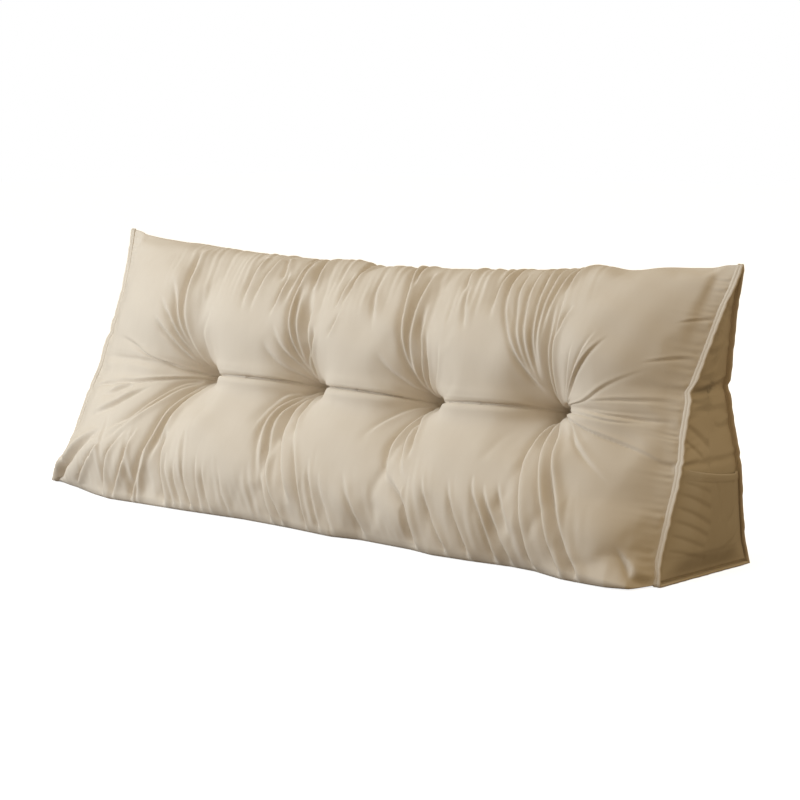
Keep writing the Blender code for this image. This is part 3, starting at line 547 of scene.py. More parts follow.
def girth_of(s):
    """Girth in metres up the middle section from the toe; below the toe it is slightly negative."""
    stations = np.linspace(1.0, FRONT_LAST + 1.0, 1201)
    points = closed_curve(MIDDLE_SECTION, stations)
    girth = np.concatenate([[0.0], np.cumsum(np.linalg.norm(np.diff(points, axis=0), axis=1))])
    return np.where(s >= 1.0, np.interp(s, stations, girth), -0.035 * (1.0 - s))


def station_of(girth):
    """Station number at a girth up the front of the middle section."""
    stations = np.linspace(1.0, FRONT_LAST + 1.0, 1201)
    return np.interp(girth, girth_of(stations), stations)


def rows_along_crease(x, s):
    """Station numbers of the grid: each row keeps its station, but near the groove the rows close up and
    bend so that one of them runs along the channel's crease."""
    grid_x, grid_s = np.meshgrid(x, s, indexing="ij")
    girth = girth_of(grid_s)
    centre = float(girth_of(s[np.argmin(np.abs(s - GROOVE))]))
    off = girth - centre
    ends = smooth(0.0, 0.12, SEAM_X - np.abs(grid_x))
    bend = (crease_line(grid_x) - centre) * np.exp(-((off / 0.05) ** 2))
    closer = -0.55 * CLOSE_ROWS * np.tanh(off / CLOSE_ROWS) * np.exp(-((off / 0.06) ** 2))
    face = (grid_s > 1.0) & (grid_s < FRONT_LAST)
    return np.where(face, station_of(girth + (bend + closer) * ends), grid_s)


GROOVE_GIRTH = float(girth_of(np.array(float(GROOVE))))


def row_stations():
    """Station numbers of the rows: evenly spaced along the section, close on the face, wider on the back
    and the underside. An even count, and every corner of the end triangle is met by a row."""
    corners = CORNER_STATIONS + (CORNER_STATIONS[0] + len(STATIONS),)
    steps = (FACE_STEP, BACK_STEP, FLOOR_STEP)
    rows = []
    for start, stop, step in zip(corners[:-1], corners[1:], steps):
        s = np.linspace(start, stop, 2001)
        points = closed_curve(MIDDLE_SECTION, s)
        length = np.concatenate([[0.0], np.cumsum(np.linalg.norm(np.diff(points, axis=0), axis=1))])
        count = 2 * int(round(length[-1] / step / 2.0))
        rows.append(np.interp(np.linspace(0.0, length[-1], count + 1)[:-1], length, s))
    return np.concatenate(rows)


def seam_draw(x, z):
    """Inward pull of the end seam along the length at each height, signed like x."""
    table = np.array(SEAM_DRAW)
    right = np.interp(z, table[:, 0], table[:, 1])
    left = np.interp(z, table[:, 0], table[:, 2])
    return np.where(x > 0.0, right, -left)


def ridge_lift(x):
    """The ridge rises towards each end, more on the right."""
    top = np.where(x < 0.0, *RIDGE_LIFT)
    return top * np.clip(np.abs(x) / RIDGE_REACH, 0.0, 1.0) ** 2


def tuft_pull(x, girth):
    """Depth of the buttoned cusps, a pointed core in a rounded bowl, and of the valleys above and below."""
    valley = np.array(VALLEY)
    pull = np.zeros_like(x)
    for tuft_x, lift, depth in TUFTS:
        across = x - tuft_x
        up = (girth - GROOVE_GIRTH - lift) / TUFT_STRETCH
        reach = np.sqrt(across**2 + up**2 + TUFT_ROUND**2)
        pull += CORE_SHARE * depth * np.exp(-reach / TUFT_CORE)
        pull += (1.0 - CORE_SHARE) * depth * np.exp(-((reach / TUFT_BOWL) ** 2))
        pull += np.interp(girth, valley[:, 0], valley[:, 1]) * np.exp(-((across / VALLEY_WIDTH) ** 2))
    return pull


def channel_fill(x, girth):
    """How far the filling pushes the channel out, between the tufts and beyond the outer ones."""
    nearest = np.min([np.abs(x - tuft[0] - FILL_SHIFT) for tuft in TUFTS], axis=0)
    between = (x > TUFTS[0][0]) & (x < TUFTS[-1][0])
    level = np.where(between, CHANNEL_FILL, OUTER_FILL) * (1.0 - np.exp(-((nearest / FILL_CLEAR) ** 2)))
    off = girth - crease_line(x)
    away = np.abs(off)
    lip = smooth(0.0, LIP_START, away) * np.exp(-((np.maximum(away - LIP_START, 0.0) / LIP_REACH) ** 2))
    lip *= np.where(off > 0.0, UPPER_LIP, LOWER_LIP) * between * (1.0 - np.exp(-((nearest / LIP_CLEAR) ** 4)))
    broad = np.exp(-(((girth - FILL_GIRTH) / FILL_REACH) ** 2))
    return level * (broad + lip) * fullness(x, girth)


def carried(x, girth):
    """The x at which the relief is read: beside a tuft it sits further along by the tuft's carry."""
    back = np.zeros_like(x)
    for (tuft_x, _, _), carry in zip(TUFTS, TUFT_CARRY):
        away = ((x - tuft_x) ** 2 + (girth - FILL_GIRTH) ** 2) / CARRY_REACH**2
        back += carry * np.exp(-away)
    return x - back


def swell_relief(x, girth):
    """Height of the soft swellings and sinkings, each a rounded hump."""
    relief = np.zeros_like(x)
    for swell_x, swell_g, reach_x, reach_g, height in SWELLS:
        falloff = ((x - swell_x) / reach_x) ** 2 + ((girth - swell_g) / reach_g) ** 2
        relief += height * np.exp(-falloff)
    return relief


def over_edge(places):
    """Carries a fold that reaches the foot or the ridge on over that edge."""
    first, last = places[0], places[-1]
    if first[1] > RIDGE_EDGE:
        places = [(first[0], first[1] + OVER_RIDGE)] + places
    if last[1] > RIDGE_EDGE:
        places = places + [(last[0], last[1] + OVER_RIDGE)]
    if last[1] < FOOT_EDGE:
        places = places + [(last[0] + 0.01, last[1] - FOOT_EDGE)]
    return places


def into_tuft(places, gathers):
    """Starts a fold that begins beside a tuft most of the way in towards it."""
    for centre in gathers:
        away = math.dist(places[0], centre)
        if away < TUFT_HOLD:
            inward = [(near - far) * INTO_TUFT + far for near, far in zip(centre, places[0])]
            return [tuple(inward)] + places
    return places


def fold_path(places, count=36):
    """Smooth open curve through four places, carried on at both ends in its own direction."""
    knots = np.array(places)
    knots = np.vstack([2.0 * knots[0] - knots[1], knots, 2.0 * knots[-1] - knots[-2]])
    s = np.linspace(1.0, len(knots) - 2.0, count + 1)
    s[-1] -= 1e-6
    return closed_curve(knots, s)


def held_share(place, gathers):
    """How soon a fold is at full depth: at once at a gather, the foot or the ridge, slowly on free cloth."""
    near_tuft = any(math.dist(place, centre) < TUFT_HOLD for centre in gathers)
    held = near_tuft or not gathers or not FOOT_EDGE < place[1] < RIDGE_EDGE
    return HELD_RUN if held else FREE_RUN


def fold_section(q):
    """Trough and lip of a fold at q, the place across it in half widths. The trough falls off slowly on the
    left and quickly on the right, as a bell curve. The lip is a bell on the right, longer on its far side."""
    shallow = np.exp(-1.2 * (np.sqrt(q**2 + 0.02) - 0.14) - 0.3 * q**2)
    trough = np.where(q < 0.0, shallow, np.exp(-((q / 0.50) ** 2)))
    lip = np.exp(-(((q - 0.95) / np.where(q < 0.95, 0.45, 1.20)) ** 2))
    return trough, lip


def fold_relief(u, v, folds, gathers=()):
    """Height of a set of folds at each (u, v): the fold's section at the nearest point of its path, times its
    strength there. A fold grows wider along its run. Where folds meet, the deepest counts most."""
    troughs = np.zeros_like(u)
    lips = np.zeros_like(u)
    for places, depth, width, lip in folds:
        places = [tuple(place) for place in places]
        if gathers:
            places = into_tuft(over_edge(places), gathers)
        path = fold_path(places)
        margin = 4.0 * width
        low = path.min(axis=0) - margin
        high = path.max(axis=0) + margin
        near = (u > low[0]) & (u < high[0]) & (v > low[1]) & (v < high[1])
        if not near.any():
            continue
        spots = np.column_stack([u[near], v[near]])
        start = path[:-1]
        step = np.diff(path, axis=0)
        offset = spots[:, None, :] - start[None, :, :]
        share = np.clip((offset * step).sum(-1) / (step**2).sum(-1), 0.0, 1.0)
        gap = offset - share[..., None] * step
        distance = np.linalg.norm(gap, axis=2)
        k = distance.argmin(axis=1)
        rows = np.arange(len(spots))
        run = (k + share[rows, k]) / len(start)
        chord = path[-1] - path[0]
        upright = abs(chord[1]) >= abs(chord[0])
        turn = np.sign(chord[1]) if upright else -np.sign(chord[0])
        nearest = gap[rows, k]
        side = np.sign(nearest[:, 0] * step[k, 1] - nearest[:, 1] * step[k, 0]) * turn
        spread = width * (START_WIDTH + WIDTH_GROWTH * run)
        trough, ridge = fold_section(side * distance[rows, k] / spread)
        start_run, stop_run = held_share(places[0], gathers), held_share(places[-1], gathers)
        strength = smooth(0.0, start_run, run) * (1.0 - smooth(1.0 - stop_run, 1.0, run))
        reach = np.minimum(FOLD_SCALE * depth, STEEPEST * spread) * strength
        troughs[near] += (reach * trough) ** MEETING
        lips[near] += (reach * lip * ridge) ** MEETING
    return lips ** (1.0 / MEETING) - troughs ** (1.0 / MEETING)


def crease_line(x):
    """Girth of the channel's crease at each x: the line of tufts, with its slow sway between them."""
    knots = np.array(CHANNEL)
    places = fold_path(knots[:, :2], 240)
    return np.interp(x, places[:, 0], places[:, 1])


def crease_relief(x, girth):
    """Height of the channel's crease: falls to a sharp line, with both sides full."""
    knots = np.array(CHANNEL)
    depth = np.interp(x, knots[:, 0], knots[:, 2])
    away = np.abs(girth - crease_line(x))
    return -depth * np.exp(-away / CREASE_SHARP)


def waves(u, shortest, longest, count, seed):
    """Uneven ripples along u: a sum of cosines of assorted lengths, about 1 high."""
    spread = np.random.RandomState(seed)
    lengths = np.geomspace(shortest, longest, count) * spread.uniform(0.93, 1.07, count)
    phases = spread.uniform(0.0, 2.0 * np.pi, count)
    total = sum(np.cos(2.0 * np.pi * u / length + phase) for length, phase in zip(lengths, phases))
    return total / math.sqrt(count / 2.0)


def ripple_relief(x, girth):
    """Small gathers at the foot and below the ridge, leaning a little, short puckers along the end seams,
    and broad uneven waves: each a sum of cosines times the area where it shows."""
    lean = x + 0.35 * girth
    top_of_foot = 0.12 + 0.045 * waves(x, 0.05, 0.20, 4, 5)
    foot = smooth(-0.02, 0.02, girth) * (1.0 - smooth(0.35, 1.0, girth / top_of_foot))
    foot *= 1.0 - smooth(0.58, 0.66, x)
    crest = smooth(0.40, 0.54 + 0.04 * waves(x, 0.05, 0.20, 4, 6), girth)
    crest *= 1.0 - smooth(0.46, 0.56, np.abs(x))
    patchy = 0.6 + 0.4 * waves(x, 0.11, 0.33, 3, 4)
    relief = FOOT_RIPPLE * foot * patchy * waves(lean, 0.019, 0.060, 5, 11)
    relief += CREST_RIPPLE * crest * patchy * waves(lean, 0.016, 0.050, 5, 12)
    inset = SEAM_X - np.abs(x)
    near_seam = np.exp(-inset / 0.016) * smooth(0.0, 0.004, inset)
    relief += SEAM_PUCKER * near_seam * waves(girth + 0.08 * x, 0.012, 0.034, 5, 13)
    broad = waves(x + 0.6 * girth, 0.10, 0.24, 3, 14) * waves(girth - 0.3 * x, 0.09, 0.20, 3, 15)
    return relief + BROAD_WAVES * broad


def outward_normals(points):
    """Unit normals of a grid of points, columns along x and rows round the section."""
    along = np.gradient(points, axis=0)
    padded = np.concatenate([points[:, -1:], points, points[:, :1]], axis=1)
    around = 0.5 * (padded[:, 2:] - padded[:, :-2])
    normal = np.cross(along, around)
    return normal / np.maximum(np.linalg.norm(normal, axis=2, keepdims=True), 1e-9)


def fullness(x, girth):
    """Share of the full middle section at each place: 0 at the end seams, 1 well inside them."""
    sharpness = FILL_SHARPNESS + FOOT_SHARPNESS * (1.0 - smooth(0.0, FOOT_REACH, np.abs(girth)))
    inset = SEAM_X - np.abs(x)
    return 1.0 - np.clip(1.0 - inset / END_BLEND, 0.0, 1.0) ** sharpness


def foot_step(x):
    """How far the foot of the wrap moves in y to lie on its line on the floor."""
    line = np.array(FOOT_LINE)
    share = fullness(x, float(girth_of(np.array(0.0))))
    lofted = END_SECTION[0, 0] * (1.0 - share) + MIDDLE_SECTION[0, 0] * share
    near_seam = smooth(0.0, 0.015, SEAM_X - np.abs(x))
    return (np.interp(x, line[:, 0], line[:, 1]) - lofted) * near_seam


def seam_notch(z):
    """How far the small pinches draw in the end seams at each height."""
    return sum(depth * np.exp(-(((z - height) / half) ** 2)) for height, depth, half in SEAM_NOTCHES)


def wrap_surface(x, s):
    """Grid of points on the wrap before its folds. The section runs from the straight-sided end triangle to
    the crowned middle one, is drawn in at the seams, meets the foot line and is pulled in at the tufts."""
    grid_x = np.meshgrid(x, np.arange(s.shape[-1]), indexing="ij")[0]
    grid_s = np.broadcast_to(s, grid_x.shape) % len(STATIONS)
    inset = SEAM_X - np.abs(grid_x)
    girth = girth_of(grid_s)
    crown = closed_curve(MIDDLE_SECTION, grid_s)
    crown[..., 1] *= 1.0 + ridge_lift(grid_x) / STATIONS[RIDGE][1]
    straight = closed_polygon(END_SECTION, grid_s)
    share = fullness(grid_x, girth)[..., None]
    yz = straight * (1.0 - share) + crown * share
    near_end = 1.0 - smooth(0.0, DRAW_REACH, inset)
    notch = np.sign(grid_x) * seam_notch(straight[..., 1]) * (1.0 - smooth(0.0, 0.05, inset))
    drawn_x = grid_x - seam_draw(grid_x, straight[..., 1]) * near_end - notch
    under = grid_s > len(STATIONS) - 1.0
    low = np.exp(-((yz[..., 1] / FOOT_HEIGHT) ** 2)) * np.where(under, grid_s % 1.0, 1.0)
    yz[..., 0] += np.where((grid_s < GROOVE) | under, foot_step(grid_x) * low, 0.0)
    face = (grid_s >= 0.5) & (grid_s < FRONT_LAST)
    pull = np.where(face, tuft_pull(grid_x, girth) - channel_fill(grid_x, girth), 0.0)
    yz += pull[..., None] * TUFT_AIM
    points = np.stack([drawn_x, yz[..., 0], yz[..., 1]], axis=-1)
    calm = smooth(0.0, 0.035, inset) * smooth(-0.02, 0.03, girth) * (1.0 - smooth(0.63, 0.72, girth))
    relief = np.where(face, swell_relief(carried(grid_x, girth), girth) * calm, 0.0)
    points += outward_normals(points) * relief[..., None]
    points[..., 2] = np.maximum(points[..., 2], 0.0)
    return points, grid_x, girth, face


def edge_distances(y, z):
    """Distances from a point of the end panel to the front, back and bottom seams."""
    corners = (SEAM_FRONT, SEAM_TOP, SEAM_BACK)
    found = []
    for start, stop in zip(corners, corners[1:] + corners[:1]):
        run = math.hypot(stop[0] - start[0], stop[1] - start[1])
        cross = (stop[0] - start[0]) * (z - start[1]) - (stop[1] - start[1]) * (y - start[0])
        found.append(np.maximum(-cross / run, 1e-5))
    return found


def panel_share(y, z):
    """Share of the way across the end panel from its front seam to its back seam at that height."""
    rise = np.clip((z - SEAM_FRONT[1]) / (SEAM_TOP[1] - SEAM_FRONT[1]), 0.0, 0.97)
    front = SEAM_FRONT[0] + (SEAM_TOP[0] - SEAM_FRONT[0]) * rise
    back = SEAM_BACK[0] + (SEAM_TOP[0] - SEAM_BACK[0]) * rise
    return (y - front) / (back - front)


def end_panel_x(y, z, side):
    """Place along x of the end panel at each (y, z): crowned, drawn in like its seams, folded, puckered."""
    front, back, bottom = edge_distances(y, z)
    edge = (front**-3.0 + back**-3.0 + bottom**-3.0) ** (-1.0 / 3.0)
    crown = END_CROWN * (1.0 - np.exp(-edge / END_CROWN_REACH))
    calm = smooth(0.0, 0.012, edge)
    width = SEAM_BACK[0] - SEAM_FRONT[0]
    drawn = fold_relief(panel_share(y, z) * width, z, scaled_folds(PANEL_FOLDS, width))
    folds = PANEL_FOLD_SHARE * drawn * calm
    pucker = np.exp(-front / 0.020) * waves(z - 0.2 * front, 0.013, 0.034, 4, 21 + int(side))
    pucker += np.exp(-back / 0.016) * waves(z + 0.2 * back, 0.013, 0.034, 4, 31 + int(side))
    pucker += 0.6 * np.exp(-bottom / 0.014) * waves(y, 0.014, 0.036, 4, 41 + int(side))
    relief = crown + folds + PANEL_PUCKER * pucker * smooth(0.0, 0.006, edge)
    return side * (SEAM_X + relief - seam_notch(z)) - seam_draw(np.full_like(y, side), z)


def scaled_folds(folds, width):
    """The same folds with their share across the panel turned into metres."""
    return [
        (tuple((u * width, v) for u, v in places), depth, half, lip) for places, depth, half, lip in folds
    ]


def grid_quads(columns, rows, closed_columns=False, closed_rows=False):
    """Quads over a grid of points stored column by column; a closed direction joins its last line to its
    first."""
    last_column = columns if closed_columns else columns - 1
    last_row = rows if closed_rows else rows - 1
    i, j = np.meshgrid(np.arange(last_column), np.arange(last_row), indexing="ij")
    ahead = (i + 1) % columns
    above = (j + 1) % rows
    quads = np.stack([i * rows + j, ahead * rows + j, ahead * rows + above, i * rows + above], -1)
    return quads.reshape(-1, 4)


def ring_faces(first, second, side):
    """Quads between two rings, wound so that they face outward on that side."""
    quads = np.stack([first, np.roll(first, -1), np.roll(second, -1), second], -1)
    return quads[:, ::-1] if side > 0.0 else quads


def end_cap(seam, side, rings):
    """Points of the rings of an end panel from the seam inwards, and its centre point last."""
    shares = (np.arange(1, rings + 1) / rings) ** 0.9
    flat = seam[None, :, 1:] * (1.0 - shares[:, None, None]) + END_CENTRE * shares[:, None, None]
    x = end_panel_x(flat[..., 0], flat[..., 1], side)
    points = np.concatenate([x[..., None], flat], axis=-1)
    return np.concatenate([points[:-1].reshape(-1, 3), points[-1, :1]])


def closed_body(grid, rings):
    """Vertices, quads and triangles of the filled body: the wrap grid and both end panels."""
    columns, rows = grid.shape[:2]
    quads = [grid_quads(columns, rows, closed_rows=True)]
    points = [grid.reshape(-1, 3)]
    fans = []
    total = columns * rows
    for side, column in ((-1.0, 0), (1.0, columns - 1)):
        points.append(end_cap(grid[column], side, rings))
        inner = np.arange(rows) + column * rows
        for ring in range(rings - 1):
            outer = np.arange(rows) + total + ring * rows
            quads.append(ring_faces(inner, outer, side))
            inner = outer
        centre = total + (rings - 1) * rows
        fan = np.stack([inner, np.roll(inner, -1), np.full_like(inner, centre)], -1)
        fans.append(fan[:, ::-1] if side > 0.0 else fan)
        total = centre + 1
    return np.concatenate(points), np.concatenate(quads), np.concatenate(fans)


def mesh_object(name, points, faces, material=None, shift=True):
    """One smooth-shaded object from arrays of points and of quads or triangles."""
    mesh = bpy.data.meshes.new(name)
    placed = np.asarray(points, dtype=np.float64) + (CENTRE_SHIFT if shift else 0.0)
    faces = [faces] if isinstance(faces, np.ndarray) else list(faces)
    loops = np.concatenate([part.reshape(-1) for part in faces])
    sizes = np.concatenate([np.full(len(part), part.shape[1]) for part in faces])
    mesh.vertices.add(len(placed))
    mesh.vertices.foreach_set("co", placed.reshape(-1))
    mesh.loops.add(len(loops))
    mesh.loops.foreach_set("vertex_index", loops.astype(np.int32))
    mesh.polygons.add(len(sizes))
    starts = np.concatenate([[0], np.cumsum(sizes)[:-1]])
    mesh.polygons.foreach_set("loop_start", starts.astype(np.int32))
    mesh.polygons.foreach_set("use_smooth", np.ones(len(sizes), dtype=bool))
    mesh.update(calc_edges=True)
    mesh.validate()
    piece = bpy.data.objects.new(name, mesh)
    bpy.context.scene.collection.objects.link(piece)
    if material is not None:
        mesh.materials.append(material)
    return piece


def doubled(field):
    """A grid of values at twice the density: cubic midpoints along the columns, then round the rows."""
    ends = np.concatenate([field[:1], field, field[-1:]], axis=0)
    middles = (9.0 * (ends[1:-2] + ends[2:-1]) - ends[:-3] - ends[3:]) / 16.0
    tall = np.empty((2 * field.shape[0] - 1,) + field.shape[1:])
    tall[::2] = field
    tall[1::2] = middles
    before = np.roll(tall, 1, axis=1)
    after = np.roll(tall, -1, axis=1)
    later = np.roll(tall, -2, axis=1)
    wide = np.empty((tall.shape[0], 2 * tall.shape[1]) + tall.shape[2:])
    wide[:, ::2] = tall
    wide[:, 1::2] = (9.0 * (tall + after) - before - later) / 16.0
    return wide


def blurred(field, cells):
    """The field with its detail smoothed out by repeated averaging along the columns and round the rows."""
    for _ in range(3):
        for axis, mode in ((0, "edge"), (1, "wrap")):
            pads = [(0, 0)] * field.ndim
            pads[axis] = (cells + 1, cells)
            total = np.cumsum(np.pad(field, pads, mode=mode), axis=axis)
            upper = np.take(total, np.arange(2 * cells + 1, total.shape[axis]), axis=axis)
            lower = np.take(total, np.arange(0, total.shape[axis] - 2 * cells - 1), axis=axis)
            field = (upper - lower) / (2 * cells + 1)
    return field


def settle(grid, hold, settings):
    """Inflates the coarse body as cloth held at its seams, tufts and underside, and returns how each grid
    point moved: the wrinkles that the extra cloth makes between what holds it."""
    points, quads, fans = closed_body(grid, 6)
    weights = np.ones(len(points))
    weights[: hold.size] = hold.reshape(-1)
    stand_in = mesh_object("settling_body", points, [quads, fans], shift=False)
    group = stand_in.vertex_groups.new(name="held")
    levels = np.round(weights * 10.0).astype(int)
    for level in range(1, 11):
        group.add(np.flatnonzero(levels == level).tolist(), level / 10.0, "REPLACE")
    cloth = stand_in.modifiers.new("settle", "CLOTH")
    cloth.settings.quality = 5
    cloth.settings.mass = 0.3
    cloth.settings.tension_stiffness = 14.0
    cloth.settings.compression_stiffness = 14.0
    cloth.settings.shear_stiffness = 5.0
    cloth.settings.bending_stiffness = 0.3
    cloth.settings.air_damping = 3.0
    cloth.settings.vertex_group_mass = "held"
    cloth.settings.pin_stiffness = 1.0
    cloth.settings.use_pressure = True
    cloth.settings.uniform_pressure_force = settings.pressure
    cloth.settings.shrink_min = -settings.extra_cloth
    cloth.settings.effector_weights.gravity = 0.0
    cloth.collision_settings.use_collision = False
    cloth.point_cache.frame_start = 1
    cloth.point_cache.frame_end = SETTLE_FRAMES
    scene = bpy.context.scene
    for number in range(1, SETTLE_FRAMES + 1):
        scene.frame_set(number)
    shape = stand_in.evaluated_get(bpy.context.evaluated_depsgraph_get()).data
    moved = np.empty(len(points) * 3)
    shape.vertices.foreach_get("co", moved)
    moved = moved.reshape(-1, 3)[: hold.size].reshape(grid.shape) - grid
    bpy.data.objects.remove(stand_in, do_unlink=True)
    scene.frame_set(1)
    return moved


def velvet_group():
    """Node group of the napped cloth: soft patches where the pile lies differently, streaks along the cloth
    and fine fibres. Takes the colours and scales, and gives a colour, a roughness and a height."""
    group = bpy.data.node_groups.new("Velvet nap", "ShaderNodeTree")
    make = group.interface.new_socket
    make("Cloth", in_out="INPUT", socket_type="NodeSocketColor").default_value = (0.7, 0.6, 0.5, 1.0)
    make("Nap shade", in_out="INPUT", socket_type="NodeSocketColor").default_value = (0.6, 0.5, 0.4, 1.0)
    make("Patch scale", in_out="INPUT", socket_type="NodeSocketFloat").default_value = 7.0
    make("Fibre scale", in_out="INPUT", socket_type="NodeSocketFloat").default_value = 620.0
    make("Nap strength", in_out="INPUT", socket_type="NodeSocketFloat").default_value = 0.5
    make("Colour", in_out="OUTPUT", socket_type="NodeSocketColor")
    make("Roughness", in_out="OUTPUT", socket_type="NodeSocketFloat")
    make("Height", in_out="OUTPUT", socket_type="NodeSocketFloat")
    nodes = group.nodes
    link = group.links.new
    given = nodes.new("NodeGroupInput")
    result = nodes.new("NodeGroupOutput")
    place = nodes.new("ShaderNodeTexCoord")
    patches = nodes.new("ShaderNodeTexNoise")
    patches.inputs["Detail"].default_value = 4.0
    patches.inputs["Roughness"].default_value = 0.55
    patches.inputs["Distortion"].default_value = 0.35
    link(place.outputs["Object"], patches.inputs["Vector"])
    link(given.outputs["Patch scale"], patches.inputs["Scale"])
    stretch = nodes.new("ShaderNodeMapping")
    stretch.inputs["Scale"].default_value = (1.0, 0.35, 0.22)
    stretch.inputs["Rotation"].default_value = (0.0, 0.35, 0.0)
    link(place.outputs["Object"], stretch.inputs["Vector"])
    streaks = nodes.new("ShaderNodeTexNoise")
    streaks.inputs["Scale"].default_value = 95.0
    streaks.inputs["Detail"].default_value = 3.0
    link(stretch.outputs["Vector"], streaks.inputs["Vector"])
    fibres = nodes.new("ShaderNodeTexNoise")
    fibres.inputs["Detail"].default_value = 2.0
    link(place.outputs["Object"], fibres.inputs["Vector"])
    link(given.outputs["Fibre scale"], fibres.inputs["Scale"])

    def maths(operation, first, second):
        """A maths node on two links or numbers."""
        node = nodes.new("ShaderNodeMath")
        node.operation = operation
        for socket, value in zip(node.inputs, (first, second)):
            if isinstance(value, (int, float)):
                socket.default_value = value
            else:
                link(value, socket)
        return node.outputs[0]

    patch = maths("SUBTRACT", patches.outputs["Fac"], 0.5)
    streak = maths("SUBTRACT", streaks.outputs["Fac"], 0.5)
    fibre = maths("SUBTRACT", fibres.outputs["Fac"], 0.5)
    nap = maths("ADD", maths("MULTIPLY", patch, 1.6), maths("MULTIPLY", streak, 0.55))
    nap = maths("ADD", nap, maths("MULTIPLY", fibre, 0.35))
    amount = nodes.new("ShaderNodeMath")
    amount.operation = "MULTIPLY_ADD"
    amount.use_clamp = True
    link(nap, amount.inputs[0])
    link(given.outputs["Nap strength"], amount.inputs[1])
    amount.inputs[2].default_value = 0.35
    mix = nodes.new("ShaderNodeMix")
    mix.data_type = "RGBA"
    link(amount.outputs[0], mix.inputs["Factor"])
    link(given.outputs["Cloth"], mix.inputs[6])
    link(given.outputs["Nap shade"], mix.inputs[7])
    link(mix.outputs[2], result.inputs["Colour"])
    rough = maths("ADD", maths("MULTIPLY", patch, 0.18), 0.80)
    link(rough, result.inputs["Roughness"])
    height = maths("ADD", maths("MULTIPLY", streak, 0.5), maths("MULTIPLY", fibre, 0.5))
    link(height, result.inputs["Height"])
    return group


def velvet(name, cloth, shade, patch_scale=7.0, nap=0.5, relief=0.00035):
    """A velvet material: the nap group drives colour, roughness and a fine bump, with sheen on the shader."""
    group = bpy.data.node_groups.get("Velvet nap") or velvet_group()
    material = bpy.data.materials.new(name)
    material.use_nodes = True
    nodes = material.node_tree.nodes
    link = material.node_tree.links.new
    shader = nodes["Principled BSDF"]
    pile = nodes.new("ShaderNodeGroup")
    pile.node_tree = group
    pile.inputs["Cloth"].default_value = tuple(cloth) + (1.0,)
    pile.inputs["Nap shade"].default_value = tuple(shade) + (1.0,)
    pile.inputs["Patch scale"].default_value = patch_scale
    pile.inputs["Nap strength"].default_value = nap
    bump = nodes.new("ShaderNodeBump")
    bump.inputs["Strength"].default_value = 0.5
    bump.inputs["Distance"].default_value = relief
    link(pile.outputs["Colour"], shader.inputs["Base Color"])
    link(pile.outputs["Roughness"], shader.inputs["Roughness"])
    link(pile.outputs["Height"], bump.inputs["Height"])
    link(bump.outputs["Normal"], shader.inputs["Normal"])
    shader.inputs["Specular IOR Level"].default_value = 0.25
    shader.inputs["Sheen Weight"].default_value = 0.22
    shader.inputs["Sheen Roughness"].default_value = 0.45
    shader.inputs["Sheen Tint"].default_value = (1.0, 0.95, 0.86, 1.0)
    return material


def wrinkles(points, grid_x, girth, settings):
    """How the settled cloth moves each point: every other point settles, its move is capped, and only detail
    between NOISE_SPAN and DETAIL_SPAN across is kept."""
    coarse = points[::2, ::2]
    coarse_x, coarse_g = grid_x[::2, ::2], girth[::2, ::2]
    inset = SEAM_X - np.abs(coarse_x)
    hold = 1.0 - smooth(0.0, SEAM_HOLD, inset)
    hold = np.maximum(hold, 1.0 - smooth(*FLOOR_HOLD, coarse[..., 2]))
    for tuft_x, lift, _ in TUFTS:
        reach = np.hypot(coarse_x - tuft_x, coarse_g - GROOVE_GIRTH - lift)
        hold = np.maximum(hold, 1.0 - smooth(*BUTTON_HOLD, reach))
    moved = settle(coarse, hold, settings)
    size = np.linalg.norm(moved, axis=2, keepdims=True)
    moved *= np.minimum(1.0, SETTLE_REACH / np.maximum(size, 1e-9))
    cells = 4.0 * FACE_STEP
    moved = blurred(moved, max(1, int(round(NOISE_SPAN / cells))))
    moved -= blurred(moved, int(round(DETAIL_SPAN / cells)))
    return doubled(moved * (1.0 - hold)[..., None]) * WRINKLE_SHARE


def wrap_grid(settings):
    """The wrap's finished grid: base surface, settled wrinkles, then folds, creases and ripples along its
    normals, calmer over the ridge and at the seams."""
    x = np.linspace(-SEAM_X, SEAM_X, COLUMNS)
    s = row_stations()
    points, grid_x, girth, face = wrap_surface(x, rows_along_crease(x, s))
    points += wrinkles(points, grid_x, girth, settings)
    inset = SEAM_X - np.abs(grid_x)
    gathers = [(tuft_x, GROOVE_GIRTH + lift) for tuft_x, lift, _ in TUFTS]
    drawn = [(tuft_x - carry, tuft_g) for (tuft_x, tuft_g), carry in zip(gathers, TUFT_CARRY)]
    relief = fold_relief(carried(grid_x, girth), girth, FOLDS, drawn) + ripple_relief(grid_x, girth)
    relief *= 1.0 - RIDGE_CALM * smooth(0.53, 0.61, girth)
    pits = np.zeros_like(grid_x)
    for tuft_x, tuft_g in gathers:
        reach = np.hypot(grid_x - tuft_x, (girth - tuft_g) / TUFT_STRETCH)
        relief *= smooth(0.003, 0.015, reach)
        pits += PIT_DEPTH * np.exp(-((reach / PIT_RADIUS) ** 2))
    calm = smooth(0.0, 0.008, inset) * smooth(-0.02, 0.01, girth) * (1.0 - smooth(0.68, 0.75, girth))
    relief = relief * calm + crease_relief(grid_x, girth) - pits
    relief = np.where(face, relief, 0.0) * settings.fold_scale
    points += outward_normals(points) * relief[..., None]
    points[..., 2] = np.maximum(points[..., 2], 0.0)
    return points, s


